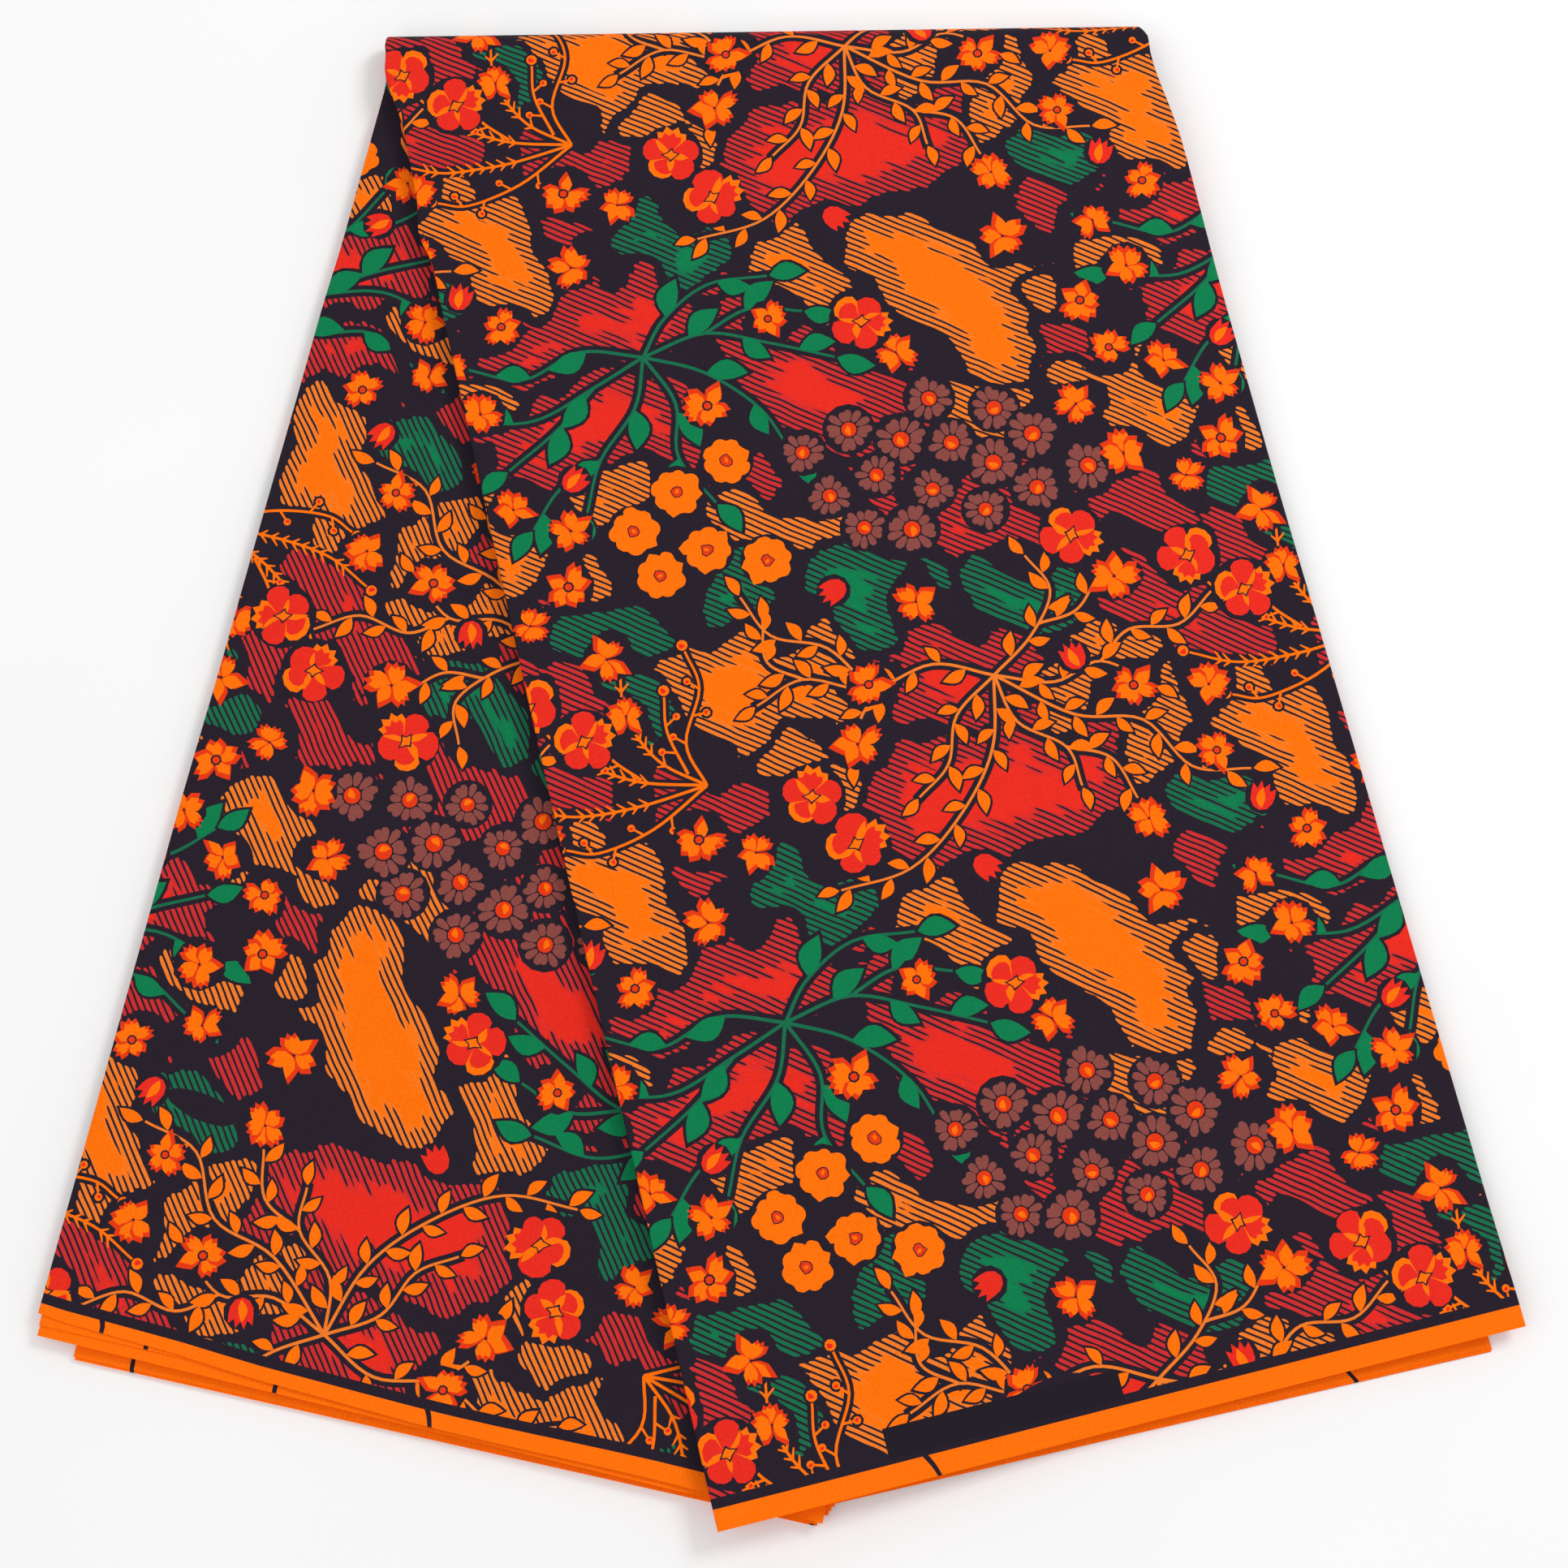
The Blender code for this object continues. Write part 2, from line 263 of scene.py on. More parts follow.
def fold_ends():
    """The left and right ends of the doubling fold, its direction, and the direction away from the wings."""
    along = Vector((math.cos(FOLD_SLOPE), math.sin(FOLD_SLOPE)))
    half = along * (FOLD_LENGTH / 2)
    return FOLD_MIDDLE - half, FOLD_MIDDLE + half, along, Vector((-along.y, along.x))


FOLD_LEFT, FOLD_RIGHT, ALONG_FOLD, OUTWARD = fold_ends()


def down(swing):
    """The direction of an edge that swings from straight down by this many degrees."""
    turn = math.radians(swing)
    return Vector((math.sin(turn), -math.cos(turn)))


def read_table(rows, distance):
    """The value of a two column table at a distance, eased between its rows."""
    for (start, first), (end, last) in zip(rows, rows[1:]):
        if distance <= end:
            share = max(0.0, distance - start) / (end - start)
            eased = share * share * (3 - 2 * share)
            return first + (last - first) * eased
    return rows[-1][1]


def eased_fall(share):
    """1 at 0 or less, 0 at 1 or more, smooth between."""
    share = min(max(share, 0.0), 1.0)
    return 1 - share * share * (3 - 2 * share)


def right_support(point):
    """The height that the right wing rests at: on the left wing, then down to the surface."""
    edge = down(LEFT_SHEET[1][1])
    to_point = point - FOLD_RIGHT
    beyond = to_point.x * -edge.y + to_point.y * edge.x
    return (WING_HEIGHT + WING_GAP) * eased_fall(beyond / SAG_RUN)


def rise(point, rows):
    """The height of the soft rises at a point."""
    total = 0.0
    for x, y, reach_x, reach_y, height in rows:
        spread = math.hypot((point.x - x) / reach_x, (point.y - y) / reach_y)
        total += height * eased_fall(spread)
    return total


def crease(point, rows):
    """The height of the soft ridges and troughs at a point. Each fades out at its ends."""
    total = 0.0
    for start_x, start_y, end_x, end_y, reach, height in rows:
        run_x, run_y = end_x - start_x, end_y - start_y
        length = math.hypot(run_x, run_y)
        along = ((point.x - start_x) * run_x + (point.y - start_y) * run_y) / length
        across = abs((point.x - start_x) * run_y - (point.y - start_y) * run_x) / length
        if across >= reach or not 0 < along < length:
            continue
        total += height * eased_fall(across / reach) * math.sin(math.pi * along / length) ** 2
    return total


class Wing:
    """Places points on one wing of the cloth."""

    def __init__(self, is_right):
        self.is_right = is_right
        self.rises = RIGHT_WING_RISES if is_right else ()
        self.creases = RIGHT_CREASES if is_right else LEFT_CREASES

    def upper_height(self, point):
        return WING_HEIGHT + (right_support(point) if self.is_right else 0.0)

    def wander(self, is_left_edge, distance):
        if self.is_right:
            rows = RIGHT_WING_INNER_WANDER if is_left_edge else RIGHT_WING_OUTER_WANDER
            return read_table(rows, distance)
        return read_table(LEFT_WING_OUTER_WANDER, distance) if is_left_edge else 0.0

    def edge(self, edges, is_left_edge, distance):
        """The point on one of a piece's long edges at a distance from the doubling fold."""
        start = FOLD_LEFT if is_left_edge else FOLD_RIGHT
        point = start + down(edges[0 if is_left_edge else 1][1]) * distance
        point.x += self.wander(is_left_edge, distance)
        return point

    def leaf_point(self, edges, across, inset, along, depth, wave):
        """A point of a leaf. A negative along is an angle round the doubling fold."""
        run = max(along, 0.0)
        start = self.edge(edges, True, edges[0][0] * run)
        end = self.edge(edges, False, edges[1][0] * run)
        direction = (end - start).normalized()
        point = start.lerp(end, across) + direction * (inset + wave * (1 - 2 * across))
        if along >= 0:
            return Vector((point.x, point.y, self.upper_height(point) - depth))
        pull = (CORNER_PULL[0] * (1 - across) - CORNER_PULL[1] * across) * math.sin(-along)
        radius = FOLD_RADIUS - depth
        point = point + direction * pull + OUTWARD * (radius * math.sin(-along))
        return Vector((point.x, point.y, FOLD_RADIUS + radius * math.cos(along)))


RIGHT_WING = Wing(True)
LEFT_WING = Wing(False)


class TopSheet:
    """A wing's printed sheet: where a flat point of it lies, in millimetres from its bottom left corner."""

    def __init__(self, wing, edges, roll_radius, tuck, bow=()):
        self.wing = wing
        self.turns_over = wing.is_right
        self.edges = edges
        self.roll_radius = roll_radius / MILLIMETRE
        self.tuck = tuck / MILLIMETRE
        self.bow = bow
        self.corner = wing.edge(edges, True, edges[0][0])
        far_corner = wing.edge(edges, False, edges[1][0])
        self.width = (far_corner - self.corner).length / MILLIMETRE
        self.along_selvedge = (far_corner - self.corner).normalized()
        self.up = Vector((-self.along_selvedge.y, self.along_selvedge.x))
        self.fold_left = self.flat(FOLD_LEFT)
        self.fold_right = self.flat(FOLD_RIGHT)
        self.fold_aim = (self.fold_right - self.fold_left) / abs(self.fold_right - self.fold_left)

    def flat(self, point):
        """The flat point over a point of the ground."""
        span = (point - self.corner) / MILLIMETRE
        return complex(span.dot(self.along_selvedge), span.dot(self.up))

    def ground(self, flat):
        return self.corner + (self.along_selvedge * flat.real + self.up * flat.imag) * MILLIMETRE

    def margins(self, height):
        """Where the two long edges lie at a height above the selvedge, in flat millimetres."""
        result = []
        ends = ((True, self.fold_left), (False, self.fold_right))
        for (is_left, fold_end), (_, swing) in zip(ends, self.edges):
            aim = down(swing)
            slope = aim.dot(self.along_selvedge) / aim.dot(self.up)
            distance = (fold_end.imag - height) * MILLIMETRE
            wander = self.wing.wander(is_left, max(distance, 0.0)) * self.along_selvedge.x / MILLIMETRE
            result.append(fold_end.real + slope * (height - fold_end.imag) + wander)
        return result

    def past_fold(self, flat):
        """How far a flat point lies past the doubling fold, in millimetres."""
        return ((flat - self.fold_left) / self.fold_aim).imag

    def rolled(self, across, low, high, depth):
        """Turns what lies past a margin down and under. Gives the place across and the depth."""
        radius = self.roll_radius
        past_low, past_high = low + radius - across, across - (high - radius)
        past = max(past_low, past_high)
        if past <= 0:
            return across, depth
        turn = min(past / radius, math.pi)
        tucked = max(past - math.pi * radius, 0.0)
        reach = (radius - depth) * math.sin(turn) - tucked
        dropped = radius - (radius - depth) * math.cos(turn)
        return (low + radius - reach if past_low > past_high else high - radius + reach), dropped

    def place(self, flat, depth=0.0):
        """Where a flat point lies in space, at a depth into the cloth in millimetres."""
        past = self.past_fold(flat)
        if past > 0:
            across = ((flat - self.fold_left) / self.fold_aim).real
            turn = past * MILLIMETRE / FOLD_RADIUS
            low = CORNER_PULL[0] * math.sin(turn) / MILLIMETRE
            high = (FOLD_LENGTH - CORNER_PULL[1] * math.sin(turn)) / MILLIMETRE
            across, dropped = self.rolled(across, low, high, depth)
            radius = FOLD_RADIUS - dropped * MILLIMETRE
            point = FOLD_LEFT + ALONG_FOLD * (across * MILLIMETRE) + OUTWARD * (radius * math.sin(turn))
            return Vector((point.x, point.y, FOLD_RADIUS + radius * math.cos(turn)))
        low, high = self.margins(flat.imag)
        across, dropped = self.rolled(flat.real, low, high, depth)
        point = self.ground(complex(across, flat.imag))
        height = self.wing.upper_height(point) - dropped * MILLIMETRE
        if dropped < self.roll_radius:
            fade = eased_fall(1 + past / CREASE_FADE)
            height += rise(point, self.wing.rises) + crease(point, self.wing.creases) * fade
        else:
            height += rise(point, self.wing.rises)
        return Vector((point.x, point.y, height))

    def outer_run(self):
        """How much flat cloth lies outside the visible margin."""
        return (math.pi - 1) * self.roll_radius + self.tuck

    def side(self, is_left, offset):
        """A flat line at an offset inside a long edge, from the selvedge up and over the fold."""
        sign = 1 if is_left else -1
        fold_end = self.fold_left if is_left else self.fold_right
        foot = self.selvedge(0 if is_left else self.width)
        line = []
        for step in range(EDGE_STEPS):
            height = foot + (fold_end.imag - EDGE_SHORT) * step / (EDGE_STEPS - 1)
            margin = self.margins(height)[0 if is_left else 1]
            line.append(complex(margin + sign * offset, height))
        line = [point for point in line if self.past_fold(point) < -LEAST_TO_FOLD]
        line.append(fold_end + sign * offset * self.fold_aim)
        if self.turns_over:
            for step in range(1, FOLD_STEPS + 1):
                turn = math.pi * step / FOLD_STEPS
                pull = CORNER_PULL[0 if is_left else 1] * math.sin(turn) / MILLIMETRE
                out = FOLD_RADIUS * turn / MILLIMETRE
                line.append(fold_end + self.fold_aim * (sign * (offset + pull) + 1j * out))
        return line

    def selvedge(self, across):
        return read_table(self.bow, across) if self.bow else 0.0

    def outline(self):
        """The flat outline of the cloth that is laid out, tucked margins and all."""
        left = self.side(True, -self.outer_run())
        right = self.side(False, -self.outer_run())
        bottom = []
        for step in range(1, SELVEDGE_STEPS):
            across = left[0].real + (right[0].real - left[0].real) * step / SELVEDGE_STEPS
            bottom.append(complex(across, self.selvedge(across)))
        return bottom + right + left[::-1]

    def rows(self):
        """Flat lines that the cloth bends along: round both rolled margins and round the doubling fold."""
        lines = []
        for step in range(ROLL_STEPS + 1):
            offset = self.roll_radius * (1 - math.pi * step / ROLL_STEPS)
            lines += [self.side(is_left, offset) for is_left in (True, False)]
        if self.turns_over:
            start = self.fold_left - self.fold_aim * FOLD_LINE_PAST
            length = FOLD_LENGTH / MILLIMETRE + 2 * FOLD_LINE_PAST
            for step in range(FOLD_STEPS):
                out = FOLD_RADIUS * math.pi * step / FOLD_STEPS / MILLIMETRE
                foot = start + self.fold_aim * 1j * max(out, 0.001)
                lines.append([foot + self.fold_aim * (length * span / FOLD_LINE_STEPS)
                              for span in range(FOLD_LINE_STEPS + 1)])
        return lines


# Each motif is given as its halos and its shapes, both in painting order, and each shape as its colour's
# name and its outline


def turned(points, centre, degrees=0.0, size=1.0):
    """Points turned, scaled and moved to a centre."""
    spin = cmath.rect(size, math.radians(degrees))
    return [centre + spin * point for point in points]


def disc(colour, centre, radius, count=12, degrees=0.0):
    """A coloured disc of a few corners."""
    ring = [cmath.rect(radius, math.tau * step / count) for step in range(count)]
    return colour, turned(ring, centre, degrees)


def curve_point(before, start, end, after, share):
    """A point between start and end on the smooth curve through four points."""
    square = share * share
    return 0.5 * (
        2 * start
        + (end - before) * share
        + (2 * before - 5 * start + 4 * end - after) * square
        + (3 * start - before - 3 * end + after) * square * share
    )


def smooth_line(points, steps):
    """An open smooth curve through points."""
    spread = [2 * points[0] - points[1], *points, 2 * points[-1] - points[-2]]
    line = [
        curve_point(*spread[index : index + 4], step / steps)
        for index in range(len(points) - 1)
        for step in range(steps)
    ]
    return line + [points[-1]]


def directions(line):
    """The direction of a line at each of its points."""
    last = len(line) - 1
    spans = [line[min(index + 1, last)] - line[max(index - 1, 0)] for index in range(last + 1)]
    return [span / abs(span) for span in spans]


def ribbon(line, start_width, end_width, longer=0.0):
    """A strip along a line."""
    aims = directions(line)
    line = [line[0] - aims[0] * longer, *line[1:-1], line[-1] + aims[-1] * longer]
    left = []
    right = []
    for index, (point, aim) in enumerate(zip(line, aims)):
        half = (start_width + (end_width - start_width) * index / (len(line) - 1)) / 2
        left.append(point + aim * 1j * half)
        right.append(point - aim * 1j * half)
    return right + left[::-1]


def length_of(line):
    return sum(abs(after - before) for before, after in zip(line, line[1:]))


def places_along(line, first, last, spacing):
    """The numbers of a line's points that follow each spacing, between two distances along it."""
    travelled = 0.0
    wanted = first
    for index in range(1, len(line)):
        travelled += abs(line[index] - line[index - 1])
        if wanted <= travelled < last:
            yield index
            wanted += spacing


def leaf(length, width, bend=0.0, start=0.0, steps=6):
    """A leaf from start along the real axis, pointed at both ends."""
    upper = []
    lower = []
    for step in range(1, steps):
        share = step / steps
        half = width / 2 * math.sin(math.pi * share**0.9)
        middle = bend * math.sin(math.pi * share)
        upper.append(complex(start + length * share, middle + half))
        lower.append(complex(start + length * share, middle - half))
    return [complex(start, 0), *lower, complex(start + length, 0), *upper[::-1]]


def leafy_stem(points, colour, width, leaf_size, leaf_halo, spacing, start, lean):
    """A stem with leaves by turns on its left and right, and one at its tip."""
    line = smooth_line(points, 7)
    aims = directions(line)
    halos = [("ground", ribbon(line, width + 2 * STEM_HALO, width * 0.8 + 2 * STEM_HALO, STEM_HALO))]
    shapes = [(colour + "_tooth", ribbon(line, width, width * STEM_TAPER))]
    length, breadth = leaf_size
    leaves = []
    side = 1
    for index in places_along(line, start, length_of(line) - length * 0.35, spacing):
        leaves.append((line[index], aims[index] * cmath.rect(1, math.radians(lean * side)), side))
        side = -side
    leaves.append((line[-1], aims[-1], side))
    for index, (foot, aim, way) in enumerate(leaves):
        size = 1.0 - 0.16 * ((index * 7) % 4) / 3
        degrees = math.degrees(cmath.phase(aim))
        bend = 0.08 * length * way
        halo = leaf(length + 3 * leaf_halo, breadth + 2 * leaf_halo, bend, width * 0.5 - leaf_halo, 5)
        halos.append(("ground", turned(halo, foot, degrees, size)))
        shapes.append((colour, turned(leaf(length, breadth, bend, width * 0.75), foot, degrees, size)))
    return halos, shapes


def berry(centre, degrees, radius=2.2):
    """A round berry with a red cheek, and its halo."""
    cheek = turned(leaf(radius * 1.3, radius * 0.9, 0.2 * radius, -radius * 0.55, 4), centre, degrees + 50)
    halos = [disc("ground", centre, radius + HALO * 0.8, 8)]
    return halos, [disc("orange", centre, radius, 9, degrees), ("red", cheek)]


def thorny_stem(points, width, thorn, has_thorns):
    """A twig with a berry at its end, and with pairs of thorns or more berries along its middle."""
    line = smooth_line(points, 6)
    aims = directions(line)
    halos = [("ground", ribbon(line, width + 2 * HALO, width + 2 * HALO, HALO))]
    shapes = [("orange", ribbon(line, width, width * STEM_TAPER))]
    length = length_of(line)
    side = 1
    spacing = THORN_SPACING if has_thorns else BERRY_SPACING
    for index in places_along(line, length * 0.28, length * 0.86, spacing):
        foot = line[index]
        if has_thorns:
            for way in (1, -1):
                aim = aims[index] * cmath.rect(thorn * (1.0 - 0.15 * way), math.radians(44 * way))
                shapes.append(("orange", ribbon([foot, foot + aim], width * 0.95, 0.55)))
        else:
            aim = aims[index] * cmath.rect(thorn * 1.1, math.radians(58 * side))
            shapes.append(("orange", ribbon([foot, foot + aim], width * 0.8, width * 0.7)))
            more_halos, more = berry(foot + aim * 1.35, math.degrees(cmath.phase(aim)), 1.5)
            halos += more_halos
            shapes += more
            side = -side
    end_halos, end_berry = berry(line[-1] + aims[-1] * 2.6, math.degrees(cmath.phase(aims[-1])))
    return halos + end_halos, shapes + end_berry


# A daisy's petal: shares of its length along, and of half its width across
DAISY_PETAL = (
    0.30, 0.52 - 0.70j, 0.80 - 0.98j, 0.97 - 0.62j, 1.0, 0.97 + 0.62j, 0.80 + 0.98j, 0.52 + 0.70j)


def daisy(centre, degrees, radius, petals=13):
    """A brown daisy: parted round petals round a red and orange middle."""
    shapes = []
    half = (math.tau * radius * 0.80 / petals - 0.4) / 2
    for index in range(petals):
        long = radius * (1 - 0.06 * (index * 5 % 4))
        petal = [complex(point.real * long, point.imag * half) for point in DAISY_PETAL]
        turn = degrees + 360 * (index + 0.14 * (index % 3)) / petals
        shapes.append(("brown", turned(petal, centre, turn)))
    glint = leaf(radius * 0.44, radius * 0.26, 0.06 * radius, -radius * 0.2, 5)
    shapes += [
        disc("ground", centre, radius * 0.385),
        disc("ember", centre, radius * 0.325),
        ("orange", turned(glint, centre - 0.06j * radius, degrees + 70)),
    ]
    return [disc("ground", centre, radius + HALO, 14)], shapes


def round_blossom(centre, degrees, radius, seed, lobes=8):
    """An orange blossom with a wavy rim of uneven lobes and an outlined red eye."""
    draw = random.Random(seed)
    rim = []
    for lobe in range(lobes):
        reach = radius * draw.uniform(0.93, 1.08)
        start = draw.uniform(-0.05, 0.2)
        peak = draw.choice((1.02, 1.04, 1.13))
        rows = ((0.0, 0.91), (0.16, 0.98), (0.34, 1.03), (0.54, peak), (0.74, 1.01), (0.90, 0.95))
        for share, height in rows:
            turn = math.tau * (lobe + share + start * (1 - share)) / lobes
            rim.append(cmath.rect(reach * height, turn))
    eye = [cmath.rect(radius * draw.uniform(0.22, 0.33), math.tau * step / 9) for step in range(9)]
    shapes = [
        ("orange", turned(rim, centre, degrees)),
        ("ground", turned(eye, centre, degrees)),
        ("ember", turned([point * (1 - 0.45 / abs(point)) for point in eye], centre, degrees)),
        ("orange", turned(leaf(radius * 0.26, radius * 0.16, 0, -radius * 0.1, 4), centre, degrees + 60)),
    ]
    return [disc("ground", centre, radius * 1.04 + HALO, 14)], shapes


# A star blossom's petals, as shares of length and width: toothed, notched and pointed
STAR_PETAL_SORTS = (
    (0.04 + 0j, 0.34 - 0.36j, 0.66 - 0.50j, 0.95 - 0.40j, 0.84 - 0.16j,
     1.05 - 0.02j, 0.86 + 0.14j, 0.97 + 0.40j, 0.64 + 0.50j, 0.34 + 0.32j),
    (0.04 + 0j, 0.30 - 0.34j, 0.62 - 0.52j, 0.96 - 0.30j,
     0.80 - 0.02j, 1.02 + 0.16j, 0.70 + 0.48j, 0.34 + 0.40j),
    (0.04 + 0j, 0.28 - 0.32j, 0.62 - 0.44j, 0.90 - 0.20j,
     1.12 + 0.02j, 0.86 + 0.24j, 0.58 + 0.44j, 0.26 + 0.30j),
)
STAR_PETALS = 5


def star_blossom(centre, degrees, radius, seed, eye):
    """A small blossom of petals that overlap, orange over a red edge, with or without an eye."""
    draw = random.Random(seed)
    shapes = []
    turn = degrees
    for _ in range(STAR_PETALS):
        long = radius * draw.uniform(0.86, 1.18)
        wide = radius * draw.uniform(0.62, 0.98)
        way = draw.choice((1, -1))
        sort = draw.choice(STAR_PETAL_SORTS)
        petal = [complex(point.real * long, point.imag * wide * way) for point in sort]
        shapes.append(("ember", turned(petal, centre, turn)))
        inner = centre + cmath.rect(radius * 0.06, math.radians(turn - 90 * way))
        shapes.append(("orange", turned(petal, inner, turn - 4 * way, 0.82)))
        turn += 360 / STAR_PETALS + draw.uniform(-15, 15)
    if eye:
        shapes += [disc("ground", centre, radius * 0.24, 8), disc("ember", centre, radius * 0.16, 7)]
    return [disc("ground", centre, radius * 1.1, 10)], shapes


# The lobes of a poppy between two of its notches: share of the way, share of the radius
ROUND_LOBE = ((0.10, 0.92), (0.28, 1.02), (0.50, 1.05), (0.72, 1.01), (0.90, 0.90))
TOOTHED_LOBE = (
    (0.10, 0.96), (0.26, 0.90), (0.36, 1.10), (0.50, 0.94), (0.64, 1.12), (0.76, 0.92), (0.90, 1.02))
# The star in its middle: angle in degrees, share of the radius
POPPY_STAR = (
    (0, 0.34), (38, 0.17), (70, 0.30), (128, 0.18), (168, 0.37), (214, 0.17), (254, 0.27), (318, 0.18))
POPPY_LOBES = 5


def poppy(centre, degrees, seed, radius=11.5):
    """A big red flower: uneven lobes, two with an orange rim, orange streaks and a dark outlined star."""
    draw = random.Random(seed)
    turns = [360 / POPPY_LOBES * index + draw.uniform(-11, 11) for index in range(POPPY_LOBES)]
    turns.append(turns[0] + 360)
    toothed = draw.randrange(POPPY_LOBES)
    lobes = []
    for index, (start, end) in enumerate(zip(turns, turns[1:])):
        reach = radius * draw.uniform(0.90, 1.06)
        notch = cmath.rect(radius * draw.uniform(0.66, 0.80), math.radians(start))
        rows = TOOTHED_LOBE if index == toothed else ROUND_LOBE
        lobes.append([notch] + [cmath.rect(reach * share, math.radians(start + (end - start) * way))
                                for way, share in rows])
    shapes = [("red", turned([point for lobe in lobes for point in lobe], centre, degrees))]
    for index in (toothed, (toothed + 2) % POPPY_LOBES):
        lobe = lobes[index] + [lobes[(index + 1) % POPPY_LOBES][0]]
        foot = sum(lobe) / len(lobe) * 0.16
        shapes.append(("orange", turned([foot] + lobe, centre, degrees)))
        side = draw.choice((7, -7))
        shapes.append(("red", turned([foot] + lobe, centre, degrees + side, 0.80)))
    for step in (1, 3, 4):
        long = radius * draw.uniform(0.62, 0.88)
        streak = leaf(long, radius * draw.uniform(0.16, 0.30), radius * draw.uniform(-0.1, 0.1), 0.0, 4)
        turn = turns[(toothed + step) % POPPY_LOBES]
        shapes.append(("orange", turned(streak, centre, degrees + turn + draw.uniform(-12, 12))))
    star = [cmath.rect(radius * share, math.radians(turn)) for turn, share in POPPY_STAR]
    spin = degrees + draw.uniform(0, 360)
    shapes.append(("ground", turned(star, centre, spin)))
    rims = (0.095, 0.045) * (len(star) // 2)
    inside = [point * (1 - rim * radius / abs(point)) for point, rim in zip(star, rims)]
    shapes.append(("orange", turned(inside, centre, spin)))
    return [disc("ground", centre, radius * 1.04 + HALO, 14)], shapes


# A tulip bud's rim, as shares of its radius: a round foot and three teeth
BUD_RIM = (
    -0.95 + 0j, -0.76 - 0.50j, -0.30 - 0.78j, 0.20 - 0.84j, 0.78 - 0.80j, 0.48 - 0.42j, 1.06 - 0.30j,
    0.62 + 0.02j, 1.12 + 0.30j, 0.52 + 0.46j, 0.82 + 0.84j, 0.20 + 0.82j, -0.34 + 0.76j, -0.78 + 0.46j,
)


def bud(centre, degrees, radius, is_plain):
    """A small tulip bud: red, plain or with an orange stripe."""
    shapes = [("red", turned([point * radius for point in BUD_RIM], centre, degrees))]
    if not is_plain:
        stripe = leaf(radius * 1.5, radius * 0.62, radius * 0.1, -radius * 0.8, 5)
        shapes.append(("orange", turned(stripe, centre, degrees + 8)))
    return [disc("ground", centre, radius + HALO, 10)], shapes


# Patches under the motifs: colour, then the swells of their middle line as x, y, radius in millimetres
PATCHES = (
    ("red", (6, 262, 13), (40, 252, 19), (76, 254, 21), (112, 262, 15), (138, 250, 11)),
    ("red", (44, 206, 16), (74, 212, 22), (100, 200, 20), (122, 180, 12)),
    ("red", (136, 240, 13), (152, 216, 22), (174, 202, 23), (184, 176, 13)),
    ("red", (186, 158, 15), (210, 148, 21), (238, 142, 18)),
    ("red", (140, 44, 14), (170, 32, 21), (204, 38, 23), (240, 28, 15)),
    ("red", (150, 82, 14), (180, 80, 19), (206, 84, 15)),
    ("red", (0, 100, 14), (20, 82, 19), (36, 64, 12)),
    ("red", (10, 138, 13), (30, 126, 17), (48, 106, 14)),
    ("red", (66, 50, 13), (86, 34, 18), (100, 52, 13)),
    ("red", (244, 186, 12), (258, 204, 14), (256, 222, 11)),
    ("orange", (198, 260, 13), (218, 244, 24), (242, 226, 20), (230, 200, 12)),
    ("orange", (162, 264, 11), (176, 244, 12)),
    ("orange", (4, 184, 14), (26, 172, 19), (48, 160, 14)),
    ("orange", (2, 222, 12), (26, 222, 14)),
    ("orange", (214, 182, 11), (232, 176, 12)),
    ("orange", (80, 106, 12), (104, 90, 20), (130, 86, 16), (142, 104, 10)),
    ("orange", (18, 50, 12), (36, 30, 19), (50, 4, 14)),
    ("orange", (124, 158, 12), (146, 148, 13)),
    ("orange", (64, 186, 8), (80, 188, 9)),
    ("orange", (230, 66, 13), (248, 84, 18), (254, 108, 13)),
    ("orange", (256, 34, 10), (262, 52, 12)),
    ("orange", (120, 34, 9), (126, 56, 12), (116, 66, 9)),
    ("green", (144, 130, 10), (166, 118, 15), (184, 126, 10)),
    ("green", (208, 108, 10), (224, 102, 13)),
    ("green", (46, 134, 9), (66, 126, 13)),
    ("green", (98, 18, 11), (116, 6, 13)),
    ("green", (4, 16, 11), (14, 0, 10)),
    ("green", (104, 128, 10), (118, 136, 11)),
    ("green", (58, 84, 10), (62, 100, 9)),
)
# How far a patch's outline strays from its swells: wave length and depth, in millimetres
PATCH_WAVES = ((46, 3.2), (27, 2.3), (16, 1.1))
PATCH_GROWTH = 1.3
# How widely two swells run into each other, and a clearing into a patch
SWELL_BLEND = 7
CLEARING_BLEND = 5
# The grid that a patch's outline is found on: its step, its margin round the swells, and how far outside it
# a clearing still counts
CONTOUR_STEP = 2.2
PATCH_MARGIN = 14
CLEARING_REACH = 20
# The points kept along a patch's outline: least and longest distance in millimetres, least turn in radians
LEAST_SPAN = 1.3
LONGEST_SPAN = 5.5
CONTOUR_TURN = 0.17


def swollen_distance(point, swells):
    """How far a point lies outside a line that swells and narrows. Less than zero inside it."""
    closest = math.inf
    for (x, y, radius), (next_x, next_y, next_radius) in zip(swells, swells[1:]):
        start = complex(x, y)
        span = complex(next_x, next_y) - start
        share = min(max((span.conjugate() * (point - start)).real / abs(span) ** 2, 0.0), 1.0)
        distance = abs(point - start - span * share) - radius - (next_radius - radius) * share
        blend = max(SWELL_BLEND - abs(distance - closest), 0.0) / SWELL_BLEND
        closest = min(closest, distance) - blend * blend * SWELL_BLEND / 4
    return closest


def repeat_offset(column, row):
    """Where a repeat of the print lies beside the first one."""
    return complex(TILE_ACROSS * column + TILE_DRIFT * row, TILE_UP * row)


